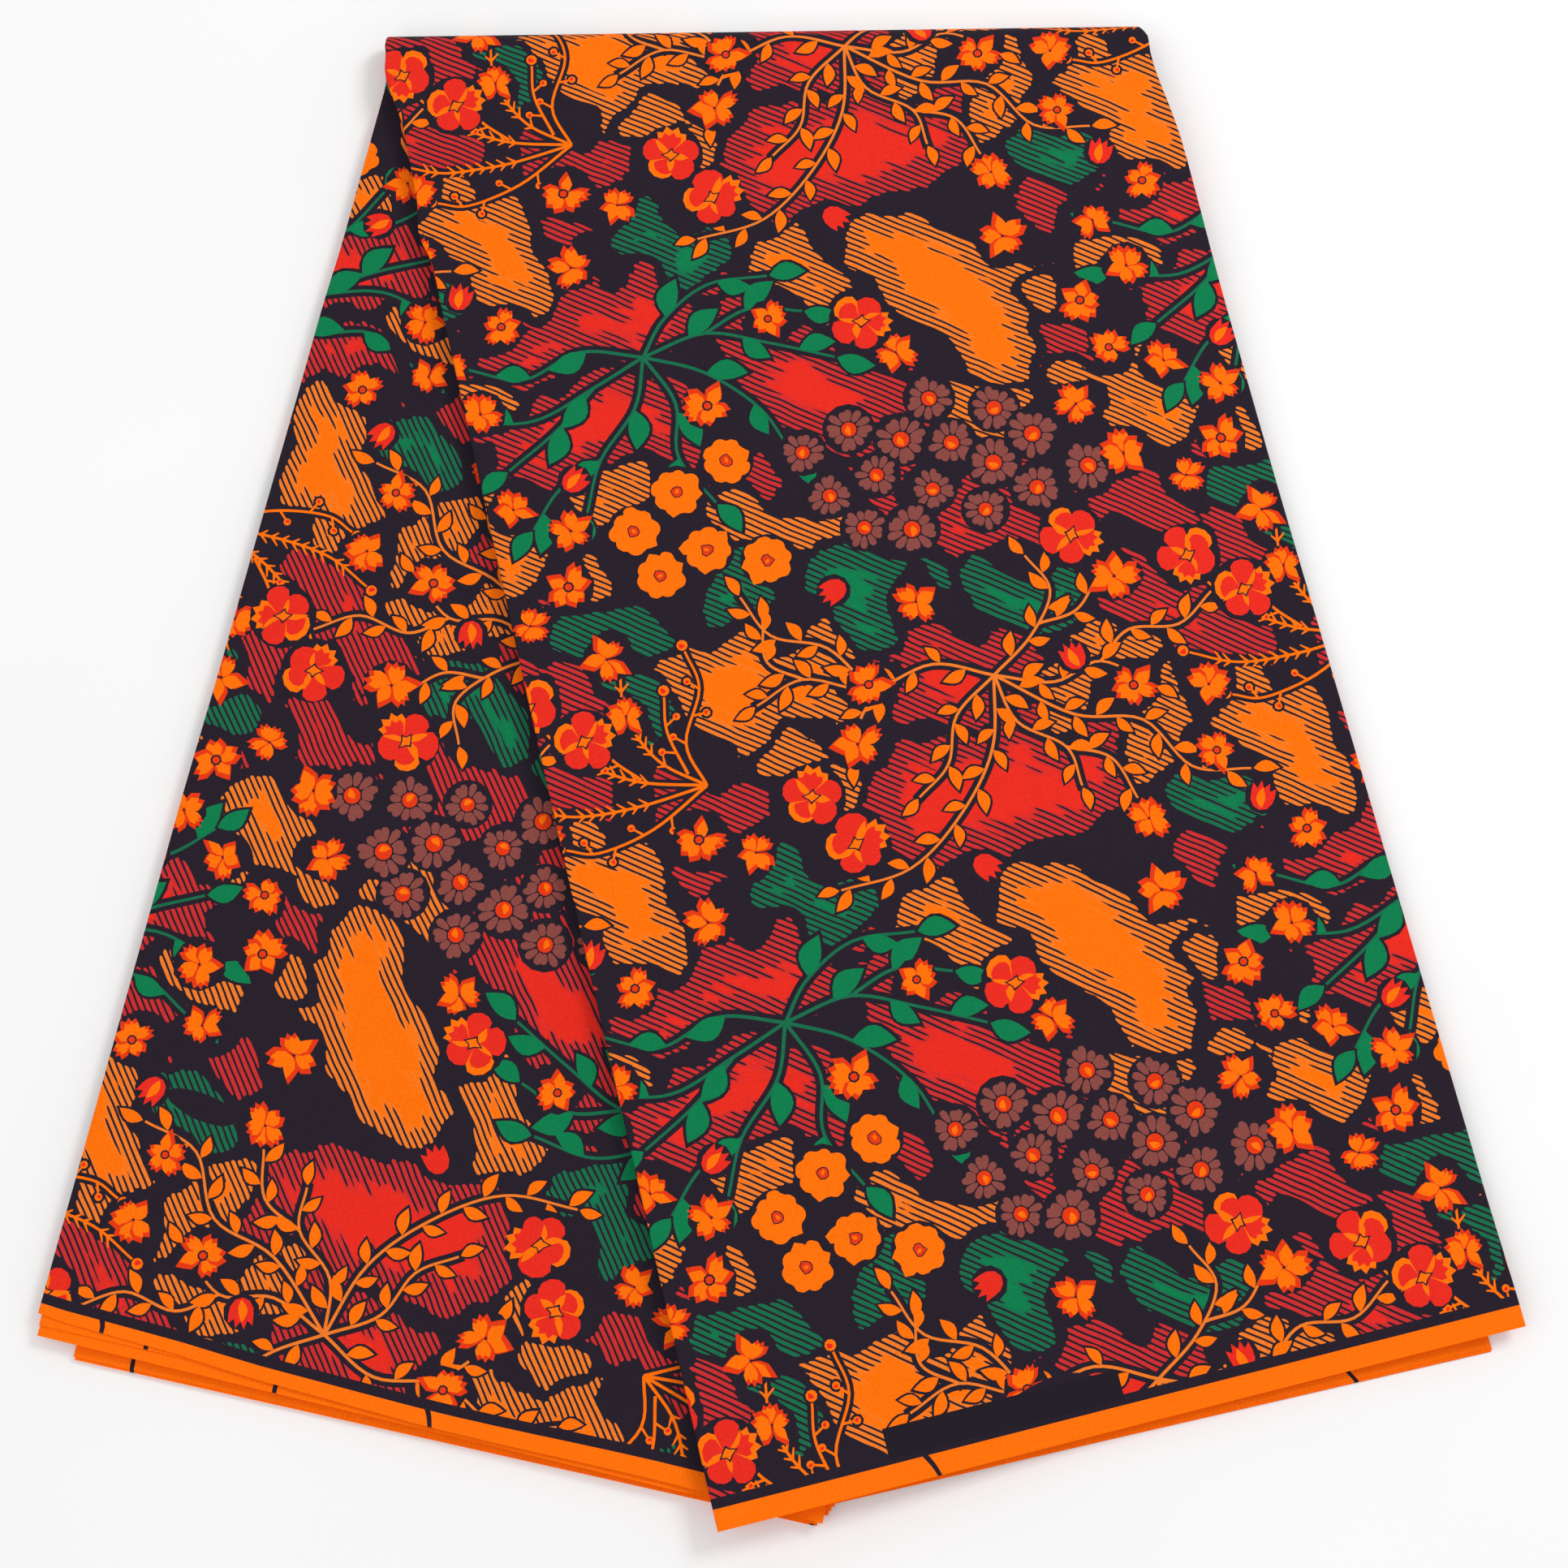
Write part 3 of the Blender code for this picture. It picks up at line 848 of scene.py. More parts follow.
def clearings():
    """Where the ground stays clear round flowers, in a repeat and its neighbours: centre and radius."""
    clear = [(x, y, STAR_CLEARING) for x, y in STAR_BLOSSOMS]
    clear += [(x, y, POPPY_CLEARING) for x, y, _ in POPPIES]
    clear += [(x, y, DAISY_CLEARING) for x, y in DAISIES[::2]]
    clear += [(x, y, ROUND_CLEARING) for x, y in ROUND_BLOSSOMS]
    offsets = [repeat_offset(column, row) for row in (-1, 0, 1) for column in (-1, 0, 1)]
    return [(complex(x, y) + offset, radius) for x, y, radius in clear for offset in offsets]


def patch_field(swells, seed, clear):
    """A grid of distances outside an uneven patch: the grid's corner, and the rows of distances."""
    draw = random.Random(seed)
    waves = [(cmath.rect(math.tau / length, draw.uniform(0, math.tau)), draw.uniform(0, math.tau), depth)
             for length, depth in PATCH_WAVES for _ in range(2)]
    left = min(x - radius for x, _, radius in swells) - PATCH_MARGIN
    lower = min(y - radius for _, y, radius in swells) - PATCH_MARGIN
    columns = int((max(x + radius for x, _, radius in swells) + PATCH_MARGIN - left) / CONTOUR_STEP)
    lines = int((max(y + radius for _, y, radius in swells) + PATCH_MARGIN - lower) / CONTOUR_STEP)
    corner = complex(left, lower)
    middle = complex(left + columns * CONTOUR_STEP / 2, lower + lines * CONTOUR_STEP / 2)
    reach = abs(middle - corner) + CLEARING_REACH
    clear = [(centre, radius) for centre, radius in clear if abs(centre - middle) < reach]
    rows = []
    for line in range(lines):
        row = []
        for column in range(columns):
            point = complex(left + column * CONTOUR_STEP, lower + line * CONTOUR_STEP)
            stray = sum(depth * math.sin((aim.conjugate() * point).real + phase)
                        for aim, phase, depth in waves)
            outside = swollen_distance(point, swells) - PATCH_GROWTH + stray
            for centre, radius in clear:
                cleared = radius + stray * 0.5 - abs(point - centre)
                if cleared > outside - CLEARING_BLEND:
                    blend = max(CLEARING_BLEND - abs(cleared - outside), 0.0) / CLEARING_BLEND
                    outside = max(outside, cleared) + blend * blend * CLEARING_BLEND / 4
            row.append(outside)
        rows.append(row)
    return corner, rows


def contours(corner, rows, level):
    """Closed outlines round what lies below a level in a grid, counter-clockwise."""
    following = {}
    places = {}
    cell = (0, 1, 1 + 1j, 1j)
    for line, (lower, upper) in enumerate(zip(rows, rows[1:])):
        for column in range(len(lower) - 1):
            square = (lower[column], lower[column + 1], upper[column + 1], upper[column])
            crossings = []
            for index in range(4):
                after = (index + 1) % 4
                first, last = square[index] - level, square[after] - level
                if (first < 0) == (last < 0):
                    continue
                start, end = cell[index], cell[after]
                middle = (start + end) / 2 + complex(column, line)
                key = (round(middle.real * 2), round(middle.imag * 2))
                share = first / (first - last)
                places[key] = corner + (complex(column, line) + start + (end - start) * share) * CONTOUR_STEP
                crossings.append((key, first < 0))
            if crossings and not crossings[0][1]:
                crossings = crossings[1:] + crossings[:1]
            for (leaving, _), (entering, _) in zip(crossings[::2], crossings[1::2]):
                following[leaving] = entering
    loops = []
    while following:
        key, after = following.popitem()
        loop = [key]
        while after in following:
            loop.append(after)
            after = following.pop(after)
        loops.append([places[key] for key in loop])
    return loops


def evened(loop):
    """A loop with its wrinkles smoothed, and with few points where it runs straight."""
    for _ in range(2):
        loop = [(before + 2 * point + after) / 4
                for before, point, after in zip(loop[-1:] + loop[:-1], loop, loop[1:] + loop[:1])]
    kept = [loop[0]]
    aim = loop[1] - loop[0]
    for point, after in zip(loop[1:], loop[2:] + loop[:1]):
        span = abs(point - kept[-1])
        if span <= LEAST_SPAN or abs(point - kept[0]) <= LEAST_SPAN:
            continue
        if span > LONGEST_SPAN or abs(cmath.phase((after - point) / aim)) > CONTOUR_TURN:
            kept.append(point)
            aim = after - point
    return kept


# Stems that spread from one joint: points from the joint, distance to the first leaf and between leaves
GREEN_SPRIG = (
    (((0, 0), (-24, 8), (-48, 2), (-70, 12)), 20, 26),
    (((0, 0), (-22, -8), (-48, -16), (-74, -10)), 26, 30),
    (((-22, -8), (-40, -22), (-62, -34)), 18, 26),
    (((0, 0), (-8, -20), (-26, -38), (-36, -58)), 20, 24),
    (((-26, -38), (-44, -46), (-58, -60)), 30, 26),
    (((0, 0), (8, -22), (4, -44), (14, -66)), 24, 22),
    (((0, 0), (22, -12), (40, -32), (48, -54)), 22, 24),
    (((0, 0), (26, 4), (50, -6), (74, -18)), 18, 22),
    (((26, 4), (46, 10), (66, 4)), 16, 20),
    (((0, 0), (12, 14), (32, 24), (56, 22)), 18, 24),
)
ORANGE_VINE = (
    (((0, 0), (-22, 10), (-48, 6), (-72, 16), (-92, 10)), 10, 9),
    (((-40, 8), (-54, -4), (-60, -20)), 7, 8),
    (((0, 0), (-18, -12), (-26, -30), (-40, -40)), 8, 8),
    (((0, 0), (4, -20), (20, -34), (22, -50)), 8, 8),
    (((0, 0), (22, -8), (42, -4), (60, -18)), 8, 9),
    (((0, 0), (18, 12), (30, 28), (24, 44)), 8, 8),
    (((22, 16), (38, 18), (50, 30)), 6, 8),
    (((-72, 16), (-84, 26), (-82, 42)), 7, 8),
    (((0, 0), (-8, -28), (-26, -50), (-50, -66), (-78, -68)), 12, 8),
    (((0, 0), (26, -22), (52, -30), (66, -52), (88, -58)), 10, 8),
    (((42, -4), (56, 6), (76, 4), (92, 14)), 7, 8),
    (((-48, 6), (-60, 26), (-80, 36), (-88, 54)), 8, 8),
    (((20, -34), (36, -42), (42, -60)), 7, 8),
)
# Twigs that spread from one joint: points from the joint, and whether they have thorns
THORN_FAN = (
    (((0, 0), (-16, 14), (-24, 34), (-22, 54)), True),
    (((0, 0), (-26, 8), (-46, 22), (-58, 38)), True),
    (((0, 0), (-28, -2), (-52, 0), (-70, 8)), True),
    (((0, 0), (-4, 18), (6, 38), (4, 54)), False),
    (((0, 0), (-24, -12), (-46, -16), (-58, -12)), False),
    (((-6, 6), (-10, 24), (-8, 38)), False),
    (((-24, 8), (-34, 20), (-38, 34)), False),
)
# Places of the single flowers: x, y, and a turn in degrees where it matters
DAISIES = (
    (150, 182), (170, 187), (189, 178), (176, 166), (208, 172), (222, 160), (196, 155), (228, 182),
    (240, 168), (214, 142), (236, 146), (184, 141), (156, 162), (204, 192), (258, 150), (166, 146),
)
ROUND_BLOSSOMS = ((98, 178), (120, 186), (78, 166), (104, 152), (84, 146), (126, 142))
STAR_BLOSSOMS = (
    (14, 196), (34, 186), (8, 152), (48, 150), (30, 138), (54, 172), (8, 218), (30, 228), (22, 250),
    (46, 262), (260, 176), (250, 252), (12, 28), (16, 54), (70, 8), (74, 40), (94, 30), (244, 8),
    (252, 60), (142, 62), (58, 94), (152, 84), (56, 118), (256, 104), (150, 240), (196, 214), (178, 112),
    (118, 210),
)
POPPIES = ((22, 106, 0), (40, 88, 120), (132, 24, 200), (120, 46, 40), (244, 124, 80), (186, 230, 10))
BUDS = ((60, 192, 30), (148, 124, 200), (232, 76, 100), (178, 4, 310), (24, 6, 60))


def spray(centre, stems, colour, width, leaf_size, leaf_halo, lean):
    """Leafy stems that spread from one joint, with every leaf over the stems."""
    halos = []
    bare_stems = []
    leaves = []
    for rows, start, spacing in stems:
        points = [centre + complex(x, y) for x, y in rows]
        stem_halos, (bare_stem, *stem_leaves) = leafy_stem(
            points, colour, width, leaf_size, leaf_halo, spacing, start, lean)
        halos += stem_halos
        bare_stems.append(bare_stem)
        leaves += stem_leaves
    return halos, bare_stems + leaves


def thorn_fan(centre, stems):
    """Thorny twigs that spread from one joint."""
    halos = []
    shapes = []
    for rows, has_thorns in stems:
        points = [centre + complex(x, y) for x, y in rows]
        stem_halos, stem_shapes = thorny_stem(points, width=1.2, thorn=3.8, has_thorns=has_thorns)
        halos += stem_halos
        shapes += stem_shapes
    return halos, shapes


def patch_shapes():
    """One repeat's patches in painting order, each on a wider patch of ground."""
    shapes = []
    clear = clearings()
    for seed, (colour, *swells) in enumerate(PATCHES):
        corner, rows = patch_field(swells, seed, clear)
        for level, name in ((PATCH_GAP, "ground"), (0.0, colour)):
            loops = [loop for loop in contours(corner, rows, level) if signed_area(loop) > LEAST_PATCH]
            shapes += [(name, evened(loop)) for loop in loops]
    return shapes


def motif_shapes():
    """One repeat's flowers, leaves and twigs in painting order."""
    motifs = [
        spray(complex(98, 236), GREEN_SPRIG, "green", width=1.4, leaf_size=(16.5, 8.6), leaf_halo=HALO,
              lean=24),
        spray(complex(200, 76), ORANGE_VINE, "orange", width=1.2, leaf_size=(10.2, 4.7), leaf_halo=FINE_HALO,
              lean=44),
        thorn_fan(complex(82, 60), THORN_FAN),
    ]
    for index, (x, y) in enumerate(DAISIES):
        motifs.append(daisy(complex(x, y), degrees=17 * index, radius=8.6 + 0.8 * (index % 3)))
    for index, (x, y) in enumerate(ROUND_BLOSSOMS):
        motifs.append(round_blossom(complex(x, y), degrees=31 * index, radius=9.3, seed=index))
    for index, (x, y) in enumerate(STAR_BLOSSOMS):
        radius = 7.6 + (index % 4) * 0.6
        motifs.append(star_blossom(complex(x, y), 47 * index, radius, seed=index, eye=index % 3 == 0))
    for index, (x, y, turn) in enumerate(POPPIES):
        motifs.append(poppy(complex(x, y), turn, index))
    for index, (x, y, turn) in enumerate(BUDS):
        motifs.append(bud(complex(x, y), turn, radius=5.6, is_plain=index % 2 == 1))
    return [shape for halos, shapes in motifs for shape in halos + shapes]


def sides_of(corners):
    """The pairs of neighbours round a triangle or a closed loop."""
    return zip(corners, corners[1:] + corners[:1])


def signed_area(outline):
    return sum((before.conjugate() * after).imag for before, after in sides_of(outline)) / 2


def box_of(points):
    """The lowest and highest place across, then the lowest and highest place up."""
    across = [point.real for point in points]
    up = [point.imag for point in points]
    return min(across), max(across), min(up), max(up)


def tiled(shapes, start, is_upside_down, bounds, hidden):
    """Repeats of the shapes over a sheet, without those outside its bounds or wholly hidden."""
    low_x, high_x, low_y, high_y = bounds
    placed = []
    for row in REPEAT_ROWS:
        for column in REPEAT_COLUMNS:
            offset = repeat_offset(column, row)
            for colour, outline in shapes:
                if is_upside_down:
                    moved = [start - (point + offset) for point in outline]
                else:
                    moved = [start + point + offset for point in outline]
                left, right, lower, upper = box_of(moved)
                if right < low_x or left > high_x or upper < low_y or lower > high_y or hidden(moved):
                    continue
                placed.append((colour, moved))
    return placed


def border_shapes(line_height, block, ticks):
    """The selvedge: a dark line over plain orange, register marks and the bare dark block."""
    low, high, step = BORDER_REACH
    line = [complex(across, line_height(across)) for across in range(low, high + 1, step)]
    dark = line + [point + BORDER_LINE_WIDTH * 1j for point in reversed(line)]
    orange = [complex(low, low), complex(high, low)] + line[::-1]
    shapes = [("ground", dark), ("border", orange)]
    if block:
        left, right, lower, upper = block
        corners = ((left, lower), (right, lower), (right, upper), (left, upper))
        shapes.append(("block", [complex(x, y) for x, y in corners]))
    for foot_x, foot_y, head_x, head_y, mark_width in ticks:
        foot, head = complex(foot_x, foot_y), complex(head_x, head_y)
        middle = (foot + head) / 2 + 0.5
        mark = ribbon(smooth_line([foot, middle, head], 4), mark_width * 0.75, mark_width)
        shapes.append(("ground", mark))
    return shapes


def triangulated(outline, shapes, lines, loose):
    """Triangles over a flat outline that follow every shape and line in it.

    Gives the points, the triangles and, for each triangle, the numbers of the shapes that hold it.
    """
    points = []
    loops = []
    for loop in (outline, *shapes):
        ordered = loop if signed_area(loop) > 0 else loop[::-1]
        loops.append(list(range(len(points), len(points) + len(ordered))))
        points += ordered
    edges = []
    for line in lines:
        first = len(points)
        points += line
        edges += [(first + step, first + step + 1) for step in range(len(line) - 1)]
    points += loose
    flat = [Vector((point.real, point.imag)) for point in points]
    corners, _, triangles, _, _, owners = delaunay_2d_cdt(flat, edges, loops, 0, MERGE_WITHIN, True)
    kept = [(triangle, owned) for triangle, owned in zip(triangles, owners) if 0 in owned]
    used = sorted({corner for triangle, _ in kept for corner in triangle})
    number = {corner: index for index, corner in enumerate(used)}
    return (
        [complex(*corners[corner]) for corner in used],
        [[number[corner] for corner in triangle] for triangle, _ in kept],
        [[owner - 1 for owner in owned if owner] for _, owned in kept],
    )


def rim_of(triangles):
    """The points round the triangles, in order, and the triangle beside each one's edge to the next."""
    sides = {}
    for number, triangle in enumerate(triangles):
        for start, end in sides_of(triangle):
            key = (min(start, end), max(start, end))
            sides[key] = None if key in sides else (start, (end, number))
    following = dict(side for side in sides.values() if side)
    loop = [next(iter(following))]
    beside = []
    while len(beside) < len(loop):
        after, number = following[loop[-1]]
        beside.append(number)
        if after != loop[0]:
            loop.append(after)
    if len(loop) != len(following):
        raise RuntimeError("the flat sheet has more than one rim")
    return loop, beside


def grid_points(bounds, step):
    """Loose points over the bounds, in rows that are shifted by turns."""
    low_x, high_x, low_y, high_y = bounds
    points = []
    for row in range(int((high_y - low_y) / step) + 1):
        for column in range(int((high_x - low_x) / step) + 1):
            across = low_x + GRID_DRIFT + (step * 0.5 if row % 2 else 0.0) + column * step
            points.append(complex(across, low_y + GRID_DRIFT + row * step))
    return points


def search_tree(points):
    """A tree that finds the nearest of some flat points."""
    tree = KDTree(len(points))
    for index, point in enumerate(points):
        tree.insert((point.real, point.imag, 0.0), index)
    tree.balance()
    return tree


def nearest(tree, point):
    """The number of the nearest point in a tree, and how far away it is."""
    _, number, distance = tree.find((point.real, point.imag, 0.0))
    return number, distance


def patch_depths(points, triangles, owners, names, patch_count):
    """For each point, how far it lies inside the patch that shows there, in millimetres."""
    regions = [max((owner for owner in owned if owner < patch_count), default=-1) for owned in owners]
    shown = [names[region] if region >= 0 else "ground" for region in regions]
    sides = {}
    for number, triangle in enumerate(triangles):
        for start, end in sides_of(triangle):
            sides.setdefault((min(start, end), max(start, end)), []).append(number)
    samples = []
    for (start, end), beside in sides.items():
        is_inside = len({regions[number] for number in beside}) < 2
        if is_inside or {shown[number] for number in beside} == {"ground"}:
            continue
        span = points[end] - points[start]
        pieces = max(1, int(abs(span) / SAMPLE_STEP))
        samples += [points[start] + span * piece / pieces for piece in range(pieces + 1)]
    tree = search_tree(samples)
    depths = [nearest(tree, point)[1] for point in points]
    reds = {corner for triangle, name in zip(triangles, shown) if name == "red" for corner in triangle}
    for corner in reds:
        depths[corner] *= RED_DEPTH_SHARE
    return depths


def paint(mesh, faces, face_colours, flat_points, depths):
    """Writes the faces' colours, the depths in the patches and the places on the flat cloth into layers."""
    palette = print_palette()
    places = []
    shown = []
    hatched = []
    for corners, (colour, is_patch) in zip(faces, face_colours):
        solid = (*palette[colour], 1.0 if is_patch and colour != "ground" else 0.0)
        tooth = (*palette[colour + "_tooth"], 1.0) if solid[3] else solid
        shown += solid * 3
        hatched += tooth * 3
        for number in corners:
            places += (flat_points[number].real * MILLIMETRE, flat_points[number].imag * MILLIMETRE)
    mesh.uv_layers.new(name="Cloth")
    for name in ("print_colour", "hatched_colour"):
        mesh.color_attributes.new(name, "FLOAT_COLOR", "CORNER")
    mesh.attributes.new("hatch_depth", "FLOAT", "POINT")
    mesh.uv_layers["Cloth"].data.foreach_set("uv", places)
    mesh.attributes["print_colour"].data.foreach_set("color", shown)
    mesh.attributes["hatched_colour"].data.foreach_set("color", hatched)
    mesh.attributes["hatch_depth"].data.foreach_set("value", depths)


def smooth_piece(name, mesh):
    """The object of a finished mesh, smooth apart from its sharp edges."""
    mesh.shade_smooth()
    mesh.set_sharp_from_angle(angle=math.radians(SHARP_FROM))
    mesh.validate()
    piece = bpy.data.objects.new(name, mesh)
    bpy.context.scene.collection.objects.link(piece)
    return piece


def sheet_mesh(name, sheet, patches, motifs, border):
    """The printed sheet as a closed thin shell, with its colours and its place in the flat cloth."""
    sizes = bpy.context.scene.wax_print_cloth
    step = sizes.grid / MILLIMETRE
    outline = sheet.outline()
    rows = sheet.rows()
    bounds = box_of(outline)
    names, shapes = zip(*patches, *motifs, *border)
    points, triangles, owners = triangulated(outline, shapes, rows, grid_points(bounds, step))
    rim, beside = rim_of(triangles)
    under_names, under_shapes = zip(*border)
    under_points, under_triangles, under_owners = triangulated(
        [points[number] for number in rim], under_shapes, rows, grid_points(bounds, step * UNDER_STEPS))
    under_rim, _ = rim_of(under_triangles)

    tree = search_tree([under_points[number] for number in under_rim])
    below = {}
    for number in rim:
        found, distance = nearest(tree, points[number])
        if distance > 5 * MERGE_WITHIN:
            raise RuntimeError("the sheet's two faces don't share a rim")
        below[number] = under_rim[found] + len(points)

    vertices = [sheet.place(point) for point in points]
    vertices += [sheet.place(point, sizes.thickness / MILLIMETRE) for point in under_points]
    faces = list(triangles)
    face_colours = [(names[max(owned)], max(owned) < len(patches)) if owned else ("ground", False)
                    for owned in owners]
    for triangle, owned in zip(under_triangles, under_owners):
        faces.append([len(points) + number for number in triangle[::-1]])
        face_colours.append((under_names[max(owned)] if owned else "ground", False))
    for (start, end), number in zip(sides_of(rim), beside):
        faces += [[end, start, below[start]], [end, below[start], below[end]]]
        face_colours += [(face_colours[number][0], False)] * 2
    mesh = bpy.data.meshes.new(name)
    mesh.from_pydata(vertices, [], faces)
    depths = patch_depths(points, triangles, owners, names, len(patches)) + [0.0] * len(under_points)
    paint(mesh, faces, face_colours, points + under_points, depths)
    return smooth_piece(name, mesh)


# The steps of a folded leaf's mesh: across a layer, round half a fold, along a wing, round the doubling fold
ACROSS_STEPS = 20
ROUND_STEPS = 4
ALONG_STEPS = 44
TURN_STEPS = 14
# The mouth at a leaf's selvedge: its walls' thickness as a share of the leaf's, and its depth
MOUTH_WALL = 0.36
MOUTH_DEPTH = 0.002
# The leaves' waves: their least and greatest size and rate, and the run that they are counted over
WAVE_SIZES = (0.00005, 0.0003)
WAVE_RATES = (20, 60)
WAVE_RUN = 6
# How far the leaves' side folds lie inside their edges, at least and at most
LEAF_INSETS = (0.0001, 0.0011)
# How far the flat cloth runs on for each radian of the doubling fold
RUN_ROUND_FOLD = 0.005


def leaf_section(inset, depth, thickness, shrink):
    """The ring of a folded leaf's section: share of the way across, inset from its edge, depth."""
    radius = thickness / 2
    rows = []
    for way, level, end in ((1, depth + shrink, 1.0), (-1, depth + thickness - shrink, 0.0)):
        for index in range(ACROSS_STEPS + 1):
            share = index / ACROSS_STEPS if way > 0 else 1 - index / ACROSS_STEPS
            rows.append((share, (inset + radius) * (1 - 2 * share), level))
        for index in range(1, ROUND_STEPS):
            turn = math.pi * index / ROUND_STEPS
            bulge = (radius - shrink) * math.sin(turn) - (inset + radius)
            rows.append((end, way * bulge, depth + radius - way * (radius - shrink) * math.cos(turn)))
    return rows


def leaf_shell(wing, edges, depth, thickness, shift, draw):
    """One folded leaf: two layers joined by round folds at both long sides, open at the selvedge.

    Gives its vertices, its faces, and each vertex's place on the flat cloth.
    """
    vertices = []
    faces = []
    flats = []
    waves = [(draw.uniform(*WAVE_SIZES), draw.uniform(*WAVE_RATES), draw.uniform(0, 6)) for _ in range(2)]
    inset = draw.uniform(*LEAF_INSETS)
    length = (edges[0][0] + edges[1][0]) / 2

    def add_ring(rows, station, waved_at):
        """Adds a section's vertices at a share of the way along, or at an angle round the fold."""
        wave = sum(size * math.sin(rate * (waved_at * WAVE_RUN) + phase) for size, rate, phase in waves)
        run = (1 - max(station, 0.0)) * length - min(station, 0.0) * RUN_ROUND_FOLD
        for share, inwards, level in rows:
            vertices.append(wing.leaf_point(edges, share, inwards, station, level, wave))
            flats.append((share * PANEL_WIDTH + shift, run))

    start = 0.0 if wing.is_right else WING_GAP / length
    stations = [start + (1 - start) * step / ALONG_STEPS for step in range(ALONG_STEPS + 1)]
    if wing.is_right:
        stations = [-math.pi * (1 - step / TURN_STEPS) for step in range(TURN_STEPS)] + stations
    outer = leaf_section(inset, depth, thickness, 0.0)
    count = len(outer)
    for station in stations:
        add_ring(outer, station, max(station, 0.0))
    for row in range(len(stations) - 1):
        for column in range(count):
            start_left = row * count + column
            start_right = row * count + (column + 1) % count
            faces.append((start_left, start_left + count, start_right + count, start_right))

    inner = leaf_section(inset, depth, thickness, thickness * MOUTH_WALL)
    mouth = len(vertices) - count
    pocket = len(vertices)
    for station in (1.0, 1.0 - MOUTH_DEPTH / length):
        add_ring(inner, station, 1.0)
    for upper, lower in ((mouth, pocket), (pocket, pocket + count)):
        for column in range(count):
            after = (column + 1) % count
            faces.append((upper + column, lower + column, lower + after, upper + after))

    for base, is_start in ((0, True), (pocket + count, False)):
        top = [base + index for index in range(ACROSS_STEPS + 1)]
        bottom = [base + ACROSS_STEPS + ROUND_STEPS + index for index in range(ACROSS_STEPS, -1, -1)]
        ends = [(top[index], top[index + 1], bottom[index + 1], bottom[index])
                for index in range(ACROSS_STEPS)]
        ends.append(tuple(base + ACROSS_STEPS + index for index in range(ROUND_STEPS + 1)))
        left_start = base + 2 * ACROSS_STEPS + ROUND_STEPS + 1
        ends.append((bottom[0], *range(left_start, left_start + ROUND_STEPS - 1), top[0]))
        faces += ends if is_start else [side[::-1] for side in ends]
    return vertices, faces, flats


def leaves_mesh(name, wing, rows, seed):
    """A stack of folded leaves. Each row has its edges, depth, thickness and shift along the selvedge."""
    draw = random.Random(seed)
    vertices = []
    faces = []
    flats = []
    for edges, depth, thickness, shift in rows:
        more_vertices, more_faces, more_flats = leaf_shell(wing, edges, depth, thickness, shift, draw)
        faces += [[len(vertices) + number for number in face] for face in more_faces]
        vertices += more_vertices
        flats += more_flats
    mesh = bpy.data.meshes.new(name)
    mesh.from_pydata(vertices, [], faces)
    uv = mesh.uv_layers.new(name="Cloth")
    for loop in mesh.loops:
        uv.data[loop.index].uv = flats[loop.vertex_index]
    return smooth_piece(name, mesh)


def leaf_levels():
    """Depth and thickness of the leaf inside the outer one, and of each leaf under it."""
    cotton = bpy.context.scene.wax_print_cloth.thickness
    pitch = (WING_HEIGHT - OUTER_LEAF - LEAF_CLEARANCE) / INNER_LEAVES
    wall = cotton + LEAF_CLEARANCE
    inside = (wall + TROUGH_ROOM, 2 * (OUTER_LEAF / 2 - cotton - LEAF_CLEARANCE) - TROUGH_ROOM)
    first = OUTER_LEAF + LEAF_CLEARANCE
    under = [(first + pitch * index, pitch - LEAF_CLEARANCE) for index in range(INNER_LEAVES)]
    return inside, under


def length_property(name, description, default, precision):
    return bpy.props.FloatProperty(
        name=name, description=description, default=default, unit="LENGTH", precision=precision)


def angle_property(name, description, degrees):
    return bpy.props.FloatProperty(
        name=name, description=description, default=math.radians(degrees), subtype="ANGLE")


def colour_property(name, description, display):
    return bpy.props.FloatVectorProperty(
        name=name, description=description, default=linear(*display), subtype="COLOR", min=0.0, max=1.0)


class ClothSizes(bpy.types.PropertyGroup):
    """Sizes of the cotton and its weave."""

    thickness: length_property("Cotton thickness", "Thickness of one layer of the cotton", 0.00035, 5)
    tuck: length_property("Tuck", "How far the top sheets turn under at their folds", 0.003, 4)
    grid: length_property("Mesh step", "Distance between the loose points of the sheets' meshes", 0.0045, 4)
    thread: length_property("Thread pitch", "Distance between the cotton's threads", 0.00042, 5)
    thread_height: length_property("Thread height", "How far the threads stand up", 0.00005, 6)


class HatchSizes(bpy.types.PropertyGroup):
    """Sizes of the hatched fringe round the print's patches."""

    pitch: length_property("Line pitch", "Distance between the dark lines", 0.00226, 5)
    line_share: bpy.props.FloatProperty(
        name="Line share", description="Share of the pitch that a dark line takes", default=0.37,
        subtype="FACTOR")
    shallow: length_property("Shortest line", "Depth of the shortest lines into a patch", 0.0066, 4)
    deep: length_property("Longest line", "Depth of the longest lines into a patch", 0.0112, 4)
    ragged: length_property(
        "Raggedness", "How far the strips between the lines fall short of the patch's outline", 0.0014, 4)
    right_turn: angle_property("Right sheet's turn", "How far the lines fall away to the right", 38)
    left_turn: angle_property("Left sheet's turn", "How far the lines fall away to the right", 50)


